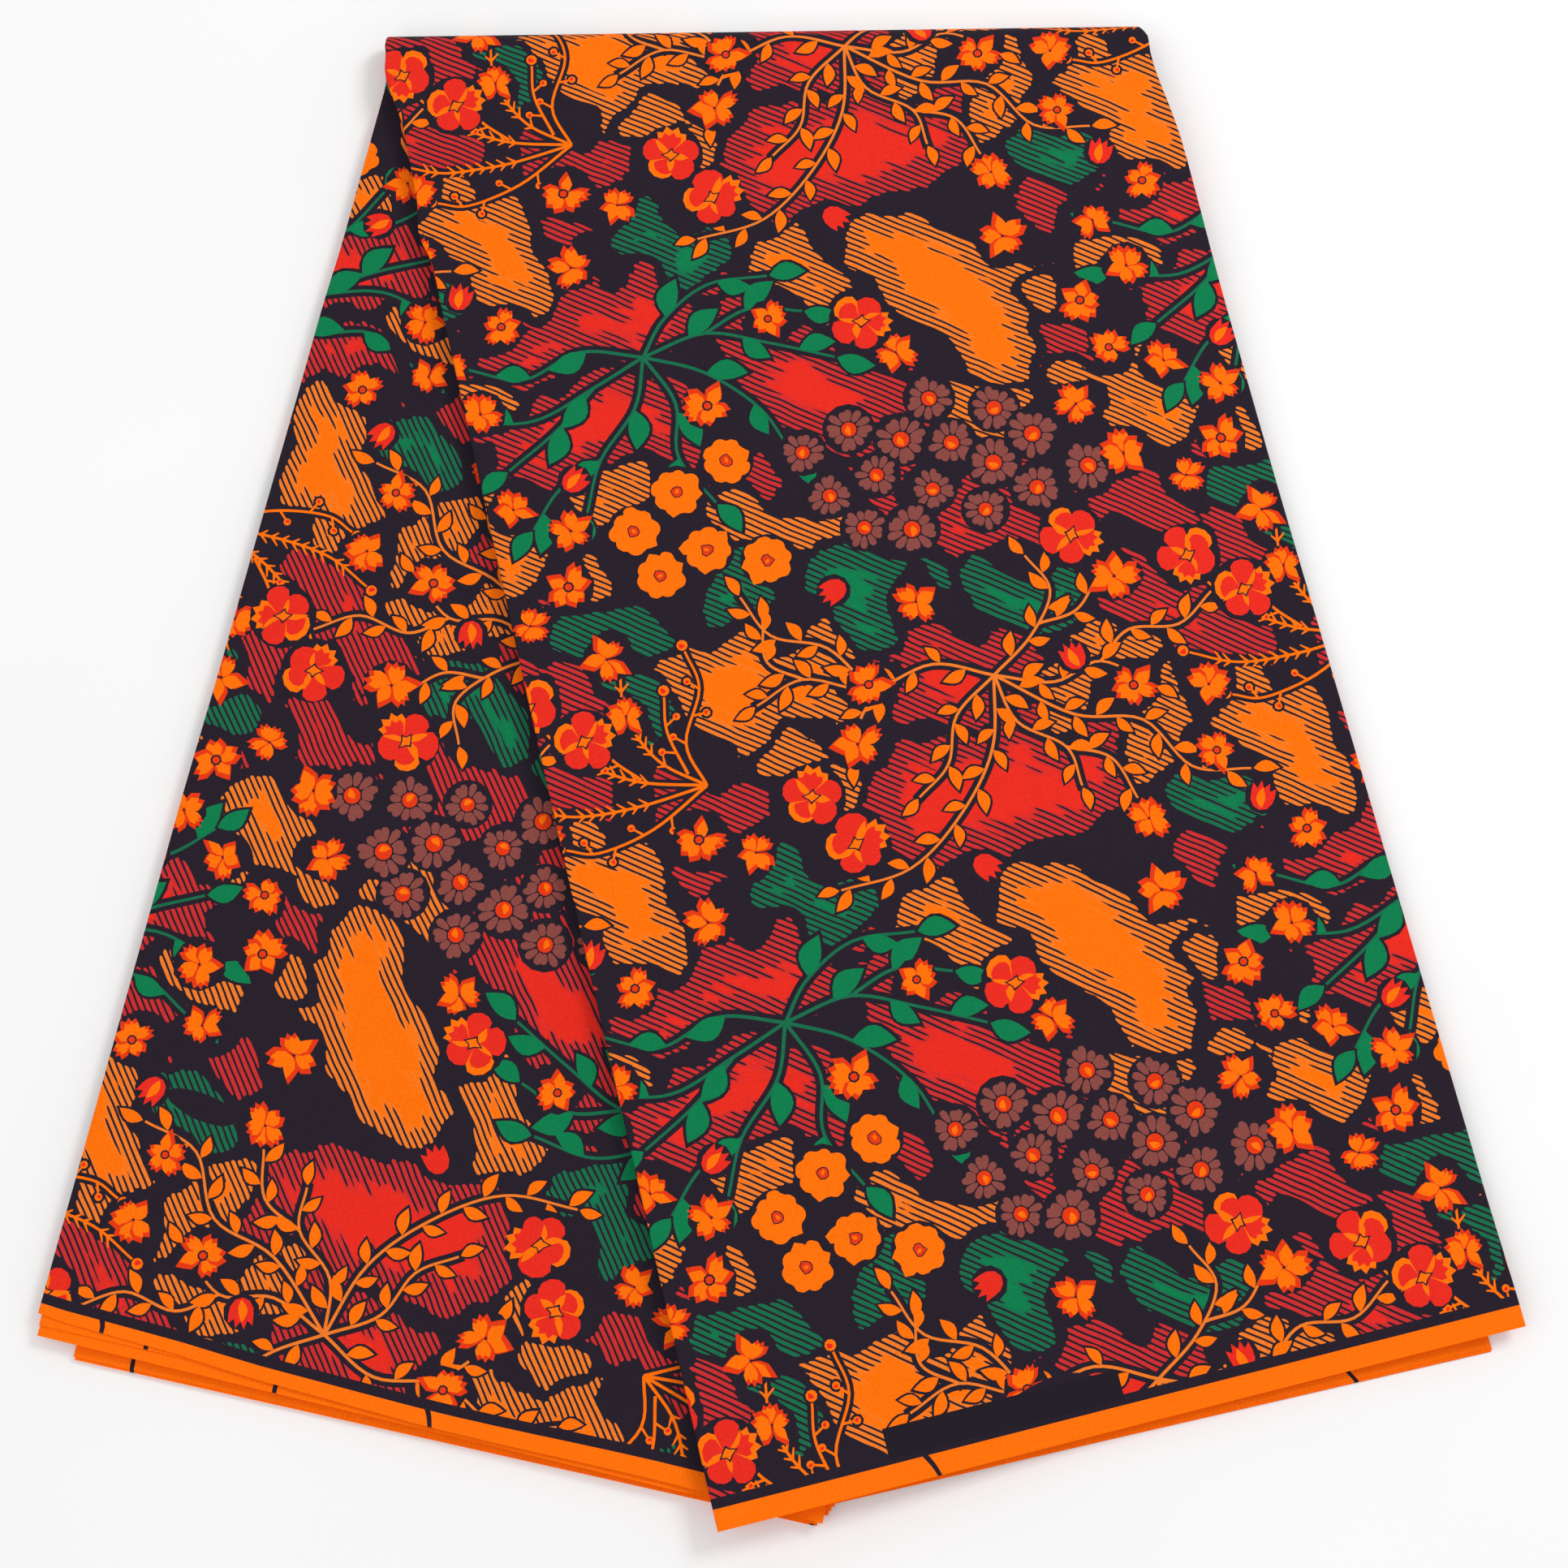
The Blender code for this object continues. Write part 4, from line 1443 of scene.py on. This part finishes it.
class PrintColours(bpy.types.PropertyGroup):
    """Colours of the print."""

    ground: colour_property("Ground", "The dark dye between the motifs", (37, 29, 40))
    block: colour_property("Block", "The bare dark block on the selvedge", (33, 26, 36))
    orange: colour_property("Orange", "Patches, vines and blossoms", (251, 112, 2))
    orange_tooth: colour_property("Orange strips", "Orange between the hatched lines", (238, 122, 39))
    red: colour_property("Red", "Patches and big flowers", (229, 42, 29))
    red_tooth: colour_property("Red strips", "Red between the hatched lines", (199, 44, 45))
    green: colour_property("Green", "Leaves and patches", (9, 122, 74))
    green_tooth: colour_property("Green strips", "Stems, and green between the hatched lines", (22, 106, 73))
    brown: colour_property("Brown", "Daisy petals", (136, 71, 65))
    ember: colour_property("Ember", "The red orange feet and eyes of the blossoms", (226, 55, 15))
    border: colour_property("Border", "The plain selvedge", (255, 112, 2))


SETTINGS = {
    "wax_print_cloth": ClothSizes,
    "wax_print_hatch": HatchSizes,
    "wax_print_colours": PrintColours,
}


def print_palette():
    """The print's colours by name."""
    colours = bpy.context.scene.wax_print_colours
    return {name: tuple(getattr(colours, name)) for name in PrintColours.__annotations__}


class NodeMaker:
    """Adds nodes to a node tree. An input is linked to a socket, or set to a number or a colour."""

    def __init__(self, tree):
        self.tree = tree

    def new(self, kind, **settings):
        node = self.tree.nodes.new("ShaderNode" + kind)
        for name, value in settings.items():
            setattr(node, name, value)
        return node

    def feed(self, node, **values):
        """Links or sets a node's inputs, where an underscore stands for a space in an input's name."""
        for name, value in values.items():
            self.put(node.inputs[name.replace("_", " ")], value)

    def put(self, socket, value):
        """Links or sets one input."""
        if isinstance(value, bpy.types.NodeSocket):
            self.tree.links.new(value, socket)
        elif isinstance(value, tuple):
            socket.default_value = (*value[:3], 1.0)
        else:
            socket.default_value = value

    def maths(self, operation, *values, clamp=False):
        node = self.new("Math", operation=operation, use_clamp=clamp)
        for socket, value in zip(node.inputs, values):
            self.put(socket, value)
        return node.outputs[0]

    def times(self, value, factor):
        return self.maths("MULTIPLY", value, factor)

    def mapped(self, value, low, high, to_low, to_high):
        """A value that runs from low to high, mapped onto another range."""
        node = self.new("MapRange")
        self.feed(node, Value=value, From_Min=low, From_Max=high, To_Min=to_low, To_Max=to_high)
        return node.outputs[0]

    def mixed(self, share, first, second, blend="MIX"):
        """A mix of two colours."""
        node = self.new("Mix", data_type="RGBA", blend_type=blend)
        inputs = {entry.identifier: entry for entry in node.inputs}
        for name, value in (("Factor_Float", share), ("A_Color", first), ("B_Color", second)):
            self.put(inputs[name], value)
        return next(entry for entry in node.outputs if entry.identifier == "Result_Color")

    def noise(self, vector, scale, detail=2.0, dimensions="2D"):
        node = self.new("TexNoise", noise_dimensions=dimensions)
        self.feed(node, Vector=vector, Scale=scale, Detail=detail)
        return node.outputs[0]

    def varied(self, noise, low, high):
        """A noise's usual range, mapped onto another one."""
        return self.mapped(noise, 0.3, 0.7, low, high)

    def combined(self, x, y, z=0.0):
        node = self.new("CombineXYZ")
        self.feed(node, X=x, Y=y, Z=z)
        return node.outputs[0]

    def split(self, vector):
        """A vector's X and Y."""
        node = self.new("SeparateXYZ")
        self.put(node.inputs[0], vector)
        return node.outputs["X"], node.outputs["Y"]

    def vector_maths(self, operation, *vectors, **values):
        node = self.new("VectorMath", operation=operation)
        for socket, vector in zip(node.inputs, vectors):
            self.put(socket, vector)
        self.feed(node, **values)
        return node.outputs[0]

    def cloth(self):
        """The place on the flat cloth in metres, then its parts along the selvedge and up from it."""
        place = self.new("UVMap", uv_map="Cloth").outputs[0]
        return place, *self.split(place)


def new_material(name):
    """A material and the maker of its nodes."""
    material = bpy.data.materials.new(name)
    material.use_nodes = True
    return material, NodeMaker(material.node_tree)


# The slubs of the threads: how many for each metre across and along a thread, and how far they stand up
# beside the threads' own height
SLUBS_ACROSS = 1400.0
SLUBS_ALONG = 70.0
SLUB_HEIGHT = 1.6
# The uneven dye: its blotches for each metre
MOTTLE_SCALE = 900.0


def cotton_weave_group():
    """The plain weave that both cottons use: a height for the threads and a shade for dye and slubs."""
    group = bpy.data.node_groups.get("Cotton weave")
    if group:
        return group
    group = bpy.data.node_groups.new("Cotton weave", "ShaderNodeTree")
    for name, in_out, kind in (("Cloth", "INPUT", "Vector"), ("Thread pitch", "INPUT", "Float"),
                               ("Height", "OUTPUT", "Float"), ("Shade", "OUTPUT", "Float")):
        group.interface.new_socket(name, in_out=in_out, socket_type="NodeSocket" + kind)
    tree = NodeMaker(group)
    entry = group.nodes.new("NodeGroupInput")
    cloth, thread_pitch = entry.outputs["Cloth"], entry.outputs["Thread pitch"]
    across, up = tree.split(cloth)
    waves = [tree.maths("SINE", tree.times(tree.maths("DIVIDE", place, thread_pitch), math.pi))
             for place in (across, up)]
    warp = tree.combined(tree.times(across, SLUBS_ACROSS), tree.times(up, SLUBS_ALONG))
    weft = tree.combined(tree.times(across, SLUBS_ALONG), tree.times(up, SLUBS_ACROSS))
    slubs = tree.maths("ADD", tree.noise(warp, 1.0), tree.noise(weft, 1.0))
    mottle = tree.noise(cloth, MOTTLE_SCALE, 3.0)
    height = tree.maths("ADD", tree.times(*waves), tree.times(slubs, SLUB_HEIGHT))
    slub_shade = tree.mapped(slubs, 0.6, 1.4, -0.05, 0.05)
    dye_shade = tree.mapped(mottle, 0.25, 0.75, 0.93, 1.07)
    leave = group.nodes.new("NodeGroupOutput")
    tree.feed(leave, Height=height, Shade=tree.maths("ADD", slub_shade, dye_shade))
    return group


def cotton_shader(material, tree, colour, cloth):
    """Finishes a cotton material: its colour under the weave's shade, matte, with a faint sheen."""
    sizes = bpy.context.scene.wax_print_cloth
    weave = tree.new("Group", node_tree=cotton_weave_group())
    tree.feed(weave, Cloth=cloth, Thread_pitch=sizes.thread)
    shade = weave.outputs["Shade"]
    bump = tree.new("Bump")
    tree.feed(bump, Strength=0.6, Distance=sizes.thread_height, Height=weave.outputs["Height"])
    tree.feed(
        material.node_tree.nodes["Principled BSDF"],
        Base_Color=tree.mixed(1.0, colour, tree.combined(shade, shade, shade), "MULTIPLY"),
        Roughness=tree.mapped(shade, 0.85, 1.15, 0.86, 0.74),
        Normal=bump.outputs["Normal"],
        Specular_IOR_Level=0.08,
        Sheen_Weight=0.02,
        Sheen_Roughness=0.45,
    )


# How far the hatched lines wander from straight, as a share of their pitch, and their bends for each metre
LINE_WANDER = 0.10
WANDER_SCALE = 60.0
# The draws of the lines' depths: how they change along a line for each metre, and how far two lines' draws
# and two strips' draws lie apart
DRAW_ALONG = 45.0
LINE_DRAW_STEP = 7.31
STRIP_DRAW_STEP = 5.17
# In millimetres: the run that a line's tip narrows in, how little the strips fall short, how round their
# ends are, and how far the strips' colour reaches past the lines and fades
TIP_RUN = 1.2
LEAST_RAGGED = 0.35
STRIP_ROUNDING = 1.1
FADE = 1.5


def printed_material(name, turn):
    """The print: each motif's colour, with the patches hatched from their outlines inwards."""
    hatch = bpy.context.scene.wax_print_hatch
    material, tree = new_material(name)
    cloth, across, up = tree.cloth()
    solid = tree.new("Attribute", attribute_name="print_colour")
    tooth = tree.new("Attribute", attribute_name="hatched_colour")
    depth = tree.new("Attribute", attribute_name="hatch_depth").outputs["Fac"]

    wander = tree.varied(tree.noise(cloth, WANDER_SCALE, 1.0), -LINE_WANDER, LINE_WANDER)
    straight = tree.maths("ADD", tree.times(across, math.sin(turn) / hatch.pitch),
                          tree.times(up, math.cos(turn) / hatch.pitch))
    stripe = tree.maths("ADD", straight, wander)
    line = tree.maths("FLOOR", tree.maths("ADD", stripe, 0.5))
    strip = tree.maths("FLOOR", stripe)
    off_line = tree.maths("ABSOLUTE", tree.maths("SUBTRACT", stripe, line))
    along = tree.maths("SUBTRACT", tree.times(across, math.cos(turn) * DRAW_ALONG),
                       tree.times(up, math.sin(turn) * DRAW_ALONG))
    line_draw, strip_draw = (
        tree.noise(tree.combined(tree.times(number, step), along), 1.0, 0.0)
        for number, step in ((line, LINE_DRAW_STEP), (strip, STRIP_DRAW_STEP))
    )

    reach = tree.varied(line_draw, hatch.shallow / MILLIMETRE, hatch.deep / MILLIMETRE)
    left = tree.maths("SUBTRACT", reach, depth)
    taper = tree.maths("POWER", tree.maths("DIVIDE", left, TIP_RUN, clamp=True), 0.5)
    on_line = tree.maths("LESS_THAN", off_line, tree.times(taper, hatch.line_share / 2))

    ragged = tree.varied(strip_draw, LEAST_RAGGED, hatch.ragged / MILLIMETRE)
    off_strip = tree.times(tree.maths("SUBTRACT", 0.5, off_line), 2.0)
    rounding = tree.times(tree.maths("POWER", off_strip, 2.0), STRIP_ROUNDING)
    is_short = tree.maths("LESS_THAN", depth, tree.maths("ADD", ragged, rounding))

    dark = tree.times(tree.maths("MAXIMUM", on_line, is_short), solid.outputs["Alpha"])
    fringe = tree.maths("DIVIDE", tree.maths("ADD", left, FADE), 2 * FADE, clamp=True)
    colour = tree.mixed(fringe, solid.outputs["Color"], tooth.outputs["Color"])
    colour = tree.mixed(dark, colour, print_palette()["ground"])
    cotton_shader(material, tree, colour, cloth)
    return material


# What shows of the print along the leaves' folds: its cells for each metre, how finely and how far their
# edges are warped, and the colours with the draw from which each one shows
CELL_SCALE = 55.0
WARP_SCALE = 90.0
WARP_REACH = 0.012
CELL_COLOURS = (
    ("ground", 0.0), ("red_tooth", 0.36), ("red", 0.50), ("orange", 0.62), ("ground", 0.82), ("green", 0.91))


def leaf_material(name, slant):
    """The folded leaves: a marked orange selvedge, and the print's colours along the folds."""
    palette = print_palette()
    material, tree = new_material(name)
    cloth, across, up = tree.cloth()

    warp = tree.new("TexNoise")
    tree.feed(warp, Vector=cloth, Scale=WARP_SCALE)
    moved = tree.vector_maths(
        "ADD", cloth, tree.vector_maths("SCALE", warp.outputs["Color"], Scale=WARP_REACH))
    cells = tree.new("TexVoronoi", voronoi_dimensions="2D")
    tree.feed(cells, Vector=moved, Scale=CELL_SCALE)
    pick = tree.new("SeparateColor")
    tree.put(pick.inputs[0], cells.outputs["Color"])
    ramp = tree.new("ValToRGB")
    tree.put(ramp.inputs[0], pick.outputs[0])
    ramp.color_ramp.interpolation = "CONSTANT"
    while len(ramp.color_ramp.elements) < len(CELL_COLOURS):
        ramp.color_ramp.elements.new(0.5)
    for element, (colour_name, position) in zip(ramp.color_ramp.elements, CELL_COLOURS):
        element.position = position
        element.color = (*palette[colour_name], 1.0)

    below_line = tree.maths("LESS_THAN", up, BORDER_LINE_FROM * MILLIMETRE)
    below_top = tree.maths("LESS_THAN", up, (BORDER_LINE_FROM + BORDER_LINE_WIDTH) * MILLIMETRE)
    slanted = tree.maths("ADD", across, tree.times(up, slant))
    off_mark = tree.maths("ABSOLUTE", tree.maths("WRAP", slanted, MARK_REPEAT / 2, -MARK_REPEAT / 2))
    mark = tree.times(tree.maths("LESS_THAN", off_mark, MARK_WIDTH / 2), below_line)
    colour = tree.mixed(below_top, ramp.outputs[0], palette["ground"])
    colour = tree.mixed(below_line, colour, palette["border"])
    colour = tree.mixed(mark, colour, palette["ground"])
    cotton_shader(material, tree, colour, cloth)
    return material


def finish_cloth(piece, material, node):
    """Gives a piece its material, hangs it on the root body and hides the solid that it stands for."""
    piece.data.materials.append(material)
    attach(piece, "root")
    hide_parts(node)


def deselect_all():
    for entry in bpy.context.view_layer.objects:
        entry.select_set(False)


def add_printed_sheet(name, sheet, start, is_upside_down, hidden, border, material, node):
    """Builds a top sheet with its print."""
    bounds = box_of(sheet.outline())
    patches = tiled(patch_shapes(), start, is_upside_down, bounds, hidden)
    motifs = tiled(motif_shapes(), start, is_upside_down, bounds, hidden)
    piece = sheet_mesh(name, sheet, patches, motifs, border)
    finish_cloth(piece, material, node)


def add_leaves(name, wing, rows, seed, material, node):
    """Builds a stack of folded leaves, each as long as the run."""
    piece = leaves_mesh(name, wing, rows, seed)
    finish_cloth(piece, material, node)


class WAXPRINT_OT_stage(bpy.types.Operator):
    """Adds the floor, the lights and the camera"""

    bl_idname = "waxprint.stage"
    bl_label = "Stage"

    def execute(self, context):
        scene = context.scene
        scene.view_settings.view_transform = "Standard"
        bpy.ops.mesh.primitive_plane_add(size=FLOOR_SIZE, location=(0, 0, 0))
        floor = context.object
        floor.name = "floor"
        paper, tree = new_material("pale_floor")
        grain = tree.noise(tree.new("TexCoord").outputs["Object"], 6.0, 2.0, "3D")
        tree.feed(
            paper.node_tree.nodes["Principled BSDF"],
            Base_Color=tree.mixed(tree.varied(grain, 0.0, 1.0), (0.90, 0.90, 0.90), (0.92, 0.92, 0.92)),
            Roughness=0.9,
            Specular_IOR_Level=0.1,
        )
        floor.data.materials.append(paper)

        world = bpy.data.worlds.new("soft_studio")
        world.use_nodes = True
        sky = world.node_tree.nodes["Background"].inputs
        sky["Color"].default_value = (1.0, 1.0, 1.0, 1.0)
        sky["Strength"].default_value = SKY_STRENGTH
        scene.world = world
        for name, place, turn, size, power in LAMPS:
            lamp = bpy.data.lights.new(name, "AREA")
            lamp.size = size
            lamp.energy = power
            light = bpy.data.objects.new(name, lamp)
            light.location = place
            light.rotation_euler = [math.radians(angle) for angle in turn]
            scene.collection.objects.link(light)

        lens = bpy.data.cameras.new("camera")
        lens.lens = CAMERA_LENS
        lens.sensor_width = CAMERA_SENSOR
        camera = bpy.data.objects.new("camera", lens)
        camera.location = CAMERA_PLACE
        camera.rotation_euler = (math.radians(CAMERA_TILT), 0, 0)
        scene.collection.objects.link(camera)
        scene.camera = camera
        return {"FINISHED"}


class WAXPRINT_OT_right_leaves(bpy.types.Operator):
    """Stacks the right wing's folded leaves and turns them over the doubling fold"""

    bl_idname = "waxprint.right_leaves"
    bl_label = "Right folded leaves"

    def execute(self, context):
        deselect_all()
        inside, under = leaf_levels()
        rows = [(edges, *level, shift)
                for edges, level, shift in zip(RIGHT_LEAVES, [inside, *under], RIGHT_LEAF_SHIFTS)]
        material = leaf_material("right_leaf_cotton", RIGHT_MARK_SLANT)
        add_leaves("right_folded_leaves", RIGHT_WING, rows[:FOLDED_LEAVES], 3, material,
                   "right_wing_hidden_layers")
        add_leaves("right_lowest_leaves", RIGHT_WING, rows[FOLDED_LEAVES:], 4, material,
                   "right_wing_lower_leaf")
        return {"FINISHED"}


class WAXPRINT_OT_left_leaves(bpy.types.Operator):
    """Stacks the left wing's folded leaves, stepped at their selvedges"""

    bl_idname = "waxprint.left_leaves"
    bl_label = "Left folded leaves"

    def execute(self, context):
        deselect_all()
        _, under = leaf_levels()
        levels = [(WING_HEIGHT - depth - thickness, thickness) for depth, thickness in reversed(under)][1:]
        levels.append((WING_HEIGHT - OUTER_LEAF, OUTER_LEAF))
        rows = [(edges, *level, shift)
                for edges, level, shift in zip(LEFT_LEAVES, levels, LEFT_LEAF_SHIFTS)]
        material = leaf_material("left_leaf_cotton", LEFT_MARK_SLANT)
        add_leaves("left_folded_leaves", LEFT_WING, rows[:FOLDED_LEAVES], 5, material,
                   "left_wing_hidden_layers")
        add_leaves("left_lowest_leaves", LEFT_WING, rows[FOLDED_LEAVES:], 6, material,
                   "left_wing_lower_leaf")
        return {"FINISHED"}


class WAXPRINT_OT_left_sheet(bpy.types.Operator):
    """Lays out the left wing's printed sheet, whose print runs the other way up"""

    bl_idname = "waxprint.left_sheet"
    bl_label = "Left printed sheet"

    def execute(self, context):
        deselect_all()
        _, under = leaf_levels()
        tuck = context.scene.wax_print_cloth.tuck
        sheet = TopSheet(LEFT_WING, LEFT_SHEET, under[-1][1] / 2, tuck, LEFT_SELVEDGE_BOW)
        top = RIGHT_WING.edge(RIGHT_SHEET, True, 0.0).x
        slope = math.tan(math.radians(RIGHT_SHEET[0][1]))

        def hidden(shape):
            """True where a shape lies well under the right wing."""
            places = [sheet.ground(point) for point in shape]
            return min(place.x - top - (FOLD_LEFT.y - place.y) * slope for place in places) > HIDDEN_BEYOND

        def line_height(across):
            """The line's lower edge, which follows the selvedge's bow."""
            return LEFT_LINE_FROM + LEFT_LINE_RISE * across + sheet.selvedge(across)

        material = printed_material("left_print", context.scene.wax_print_hatch.left_turn)
        border = border_shapes(line_height, None, LEFT_TICKS)
        add_printed_sheet("left_printed_sheet", sheet, LEFT_PRINT_START, True, hidden, border, material,
                          "left_wing_sheet")
        return {"FINISHED"}


class WAXPRINT_OT_right_sheet(bpy.types.Operator):
    """Lays out the right wing's printed sheet, which turns over the doubling fold"""

    bl_idname = "waxprint.right_sheet"
    bl_label = "Right printed sheet"

    def execute(self, context):
        deselect_all()
        sheet = TopSheet(RIGHT_WING, RIGHT_SHEET, OUTER_LEAF / 2, context.scene.wax_print_cloth.tuck)
        material = printed_material("right_print", context.scene.wax_print_hatch.right_turn)
        border = border_shapes(lambda across: BORDER_LINE_FROM, DARK_BLOCK, RIGHT_TICKS)
        add_printed_sheet("right_printed_sheet", sheet, RIGHT_PRINT_START, False, lambda shape: False,
                          border, material, "right_wing_sheet")
        return {"FINISHED"}


class WAXPRINT_PT_panel(bpy.types.Panel):
    """Lists the pieces of the folded cloth"""

    bl_idname = "WAXPRINT_PT_panel"
    bl_label = "Wax print cotton"
    bl_space_type = "VIEW_3D"
    bl_region_type = "UI"
    bl_category = "Wax print"

    def draw(self, context):
        for operator in OPERATORS:
            self.layout.operator(operator.bl_idname)
        for group in SETTINGS:
            box = self.layout.box()
            settings = getattr(context.scene, group)
            for name in settings.__annotations__:
                box.prop(settings, name)


OPERATORS = (
    WAXPRINT_OT_stage,
    WAXPRINT_OT_right_leaves,
    WAXPRINT_OT_left_leaves,
    WAXPRINT_OT_left_sheet,
    WAXPRINT_OT_right_sheet,
)
CLASSES = (*SETTINGS.values(), *OPERATORS, WAXPRINT_PT_panel)


def register():
    for entry in CLASSES:
        bpy.utils.register_class(entry)
    for name, group in SETTINGS.items():
        setattr(bpy.types.Scene, name, bpy.props.PointerProperty(type=group))


def unregister():
    for name in SETTINGS:
        delattr(bpy.types.Scene, name)
    for entry in reversed(CLASSES):
        bpy.utils.unregister_class(entry)


def main():
    register()
    deselect_all()
    bpy.ops.waxprint.stage()
    bpy.ops.waxprint.right_leaves()
    bpy.ops.waxprint.left_leaves()
    bpy.ops.waxprint.left_sheet()
    bpy.ops.waxprint.right_sheet()


if __name__ == "__main__":
    main()
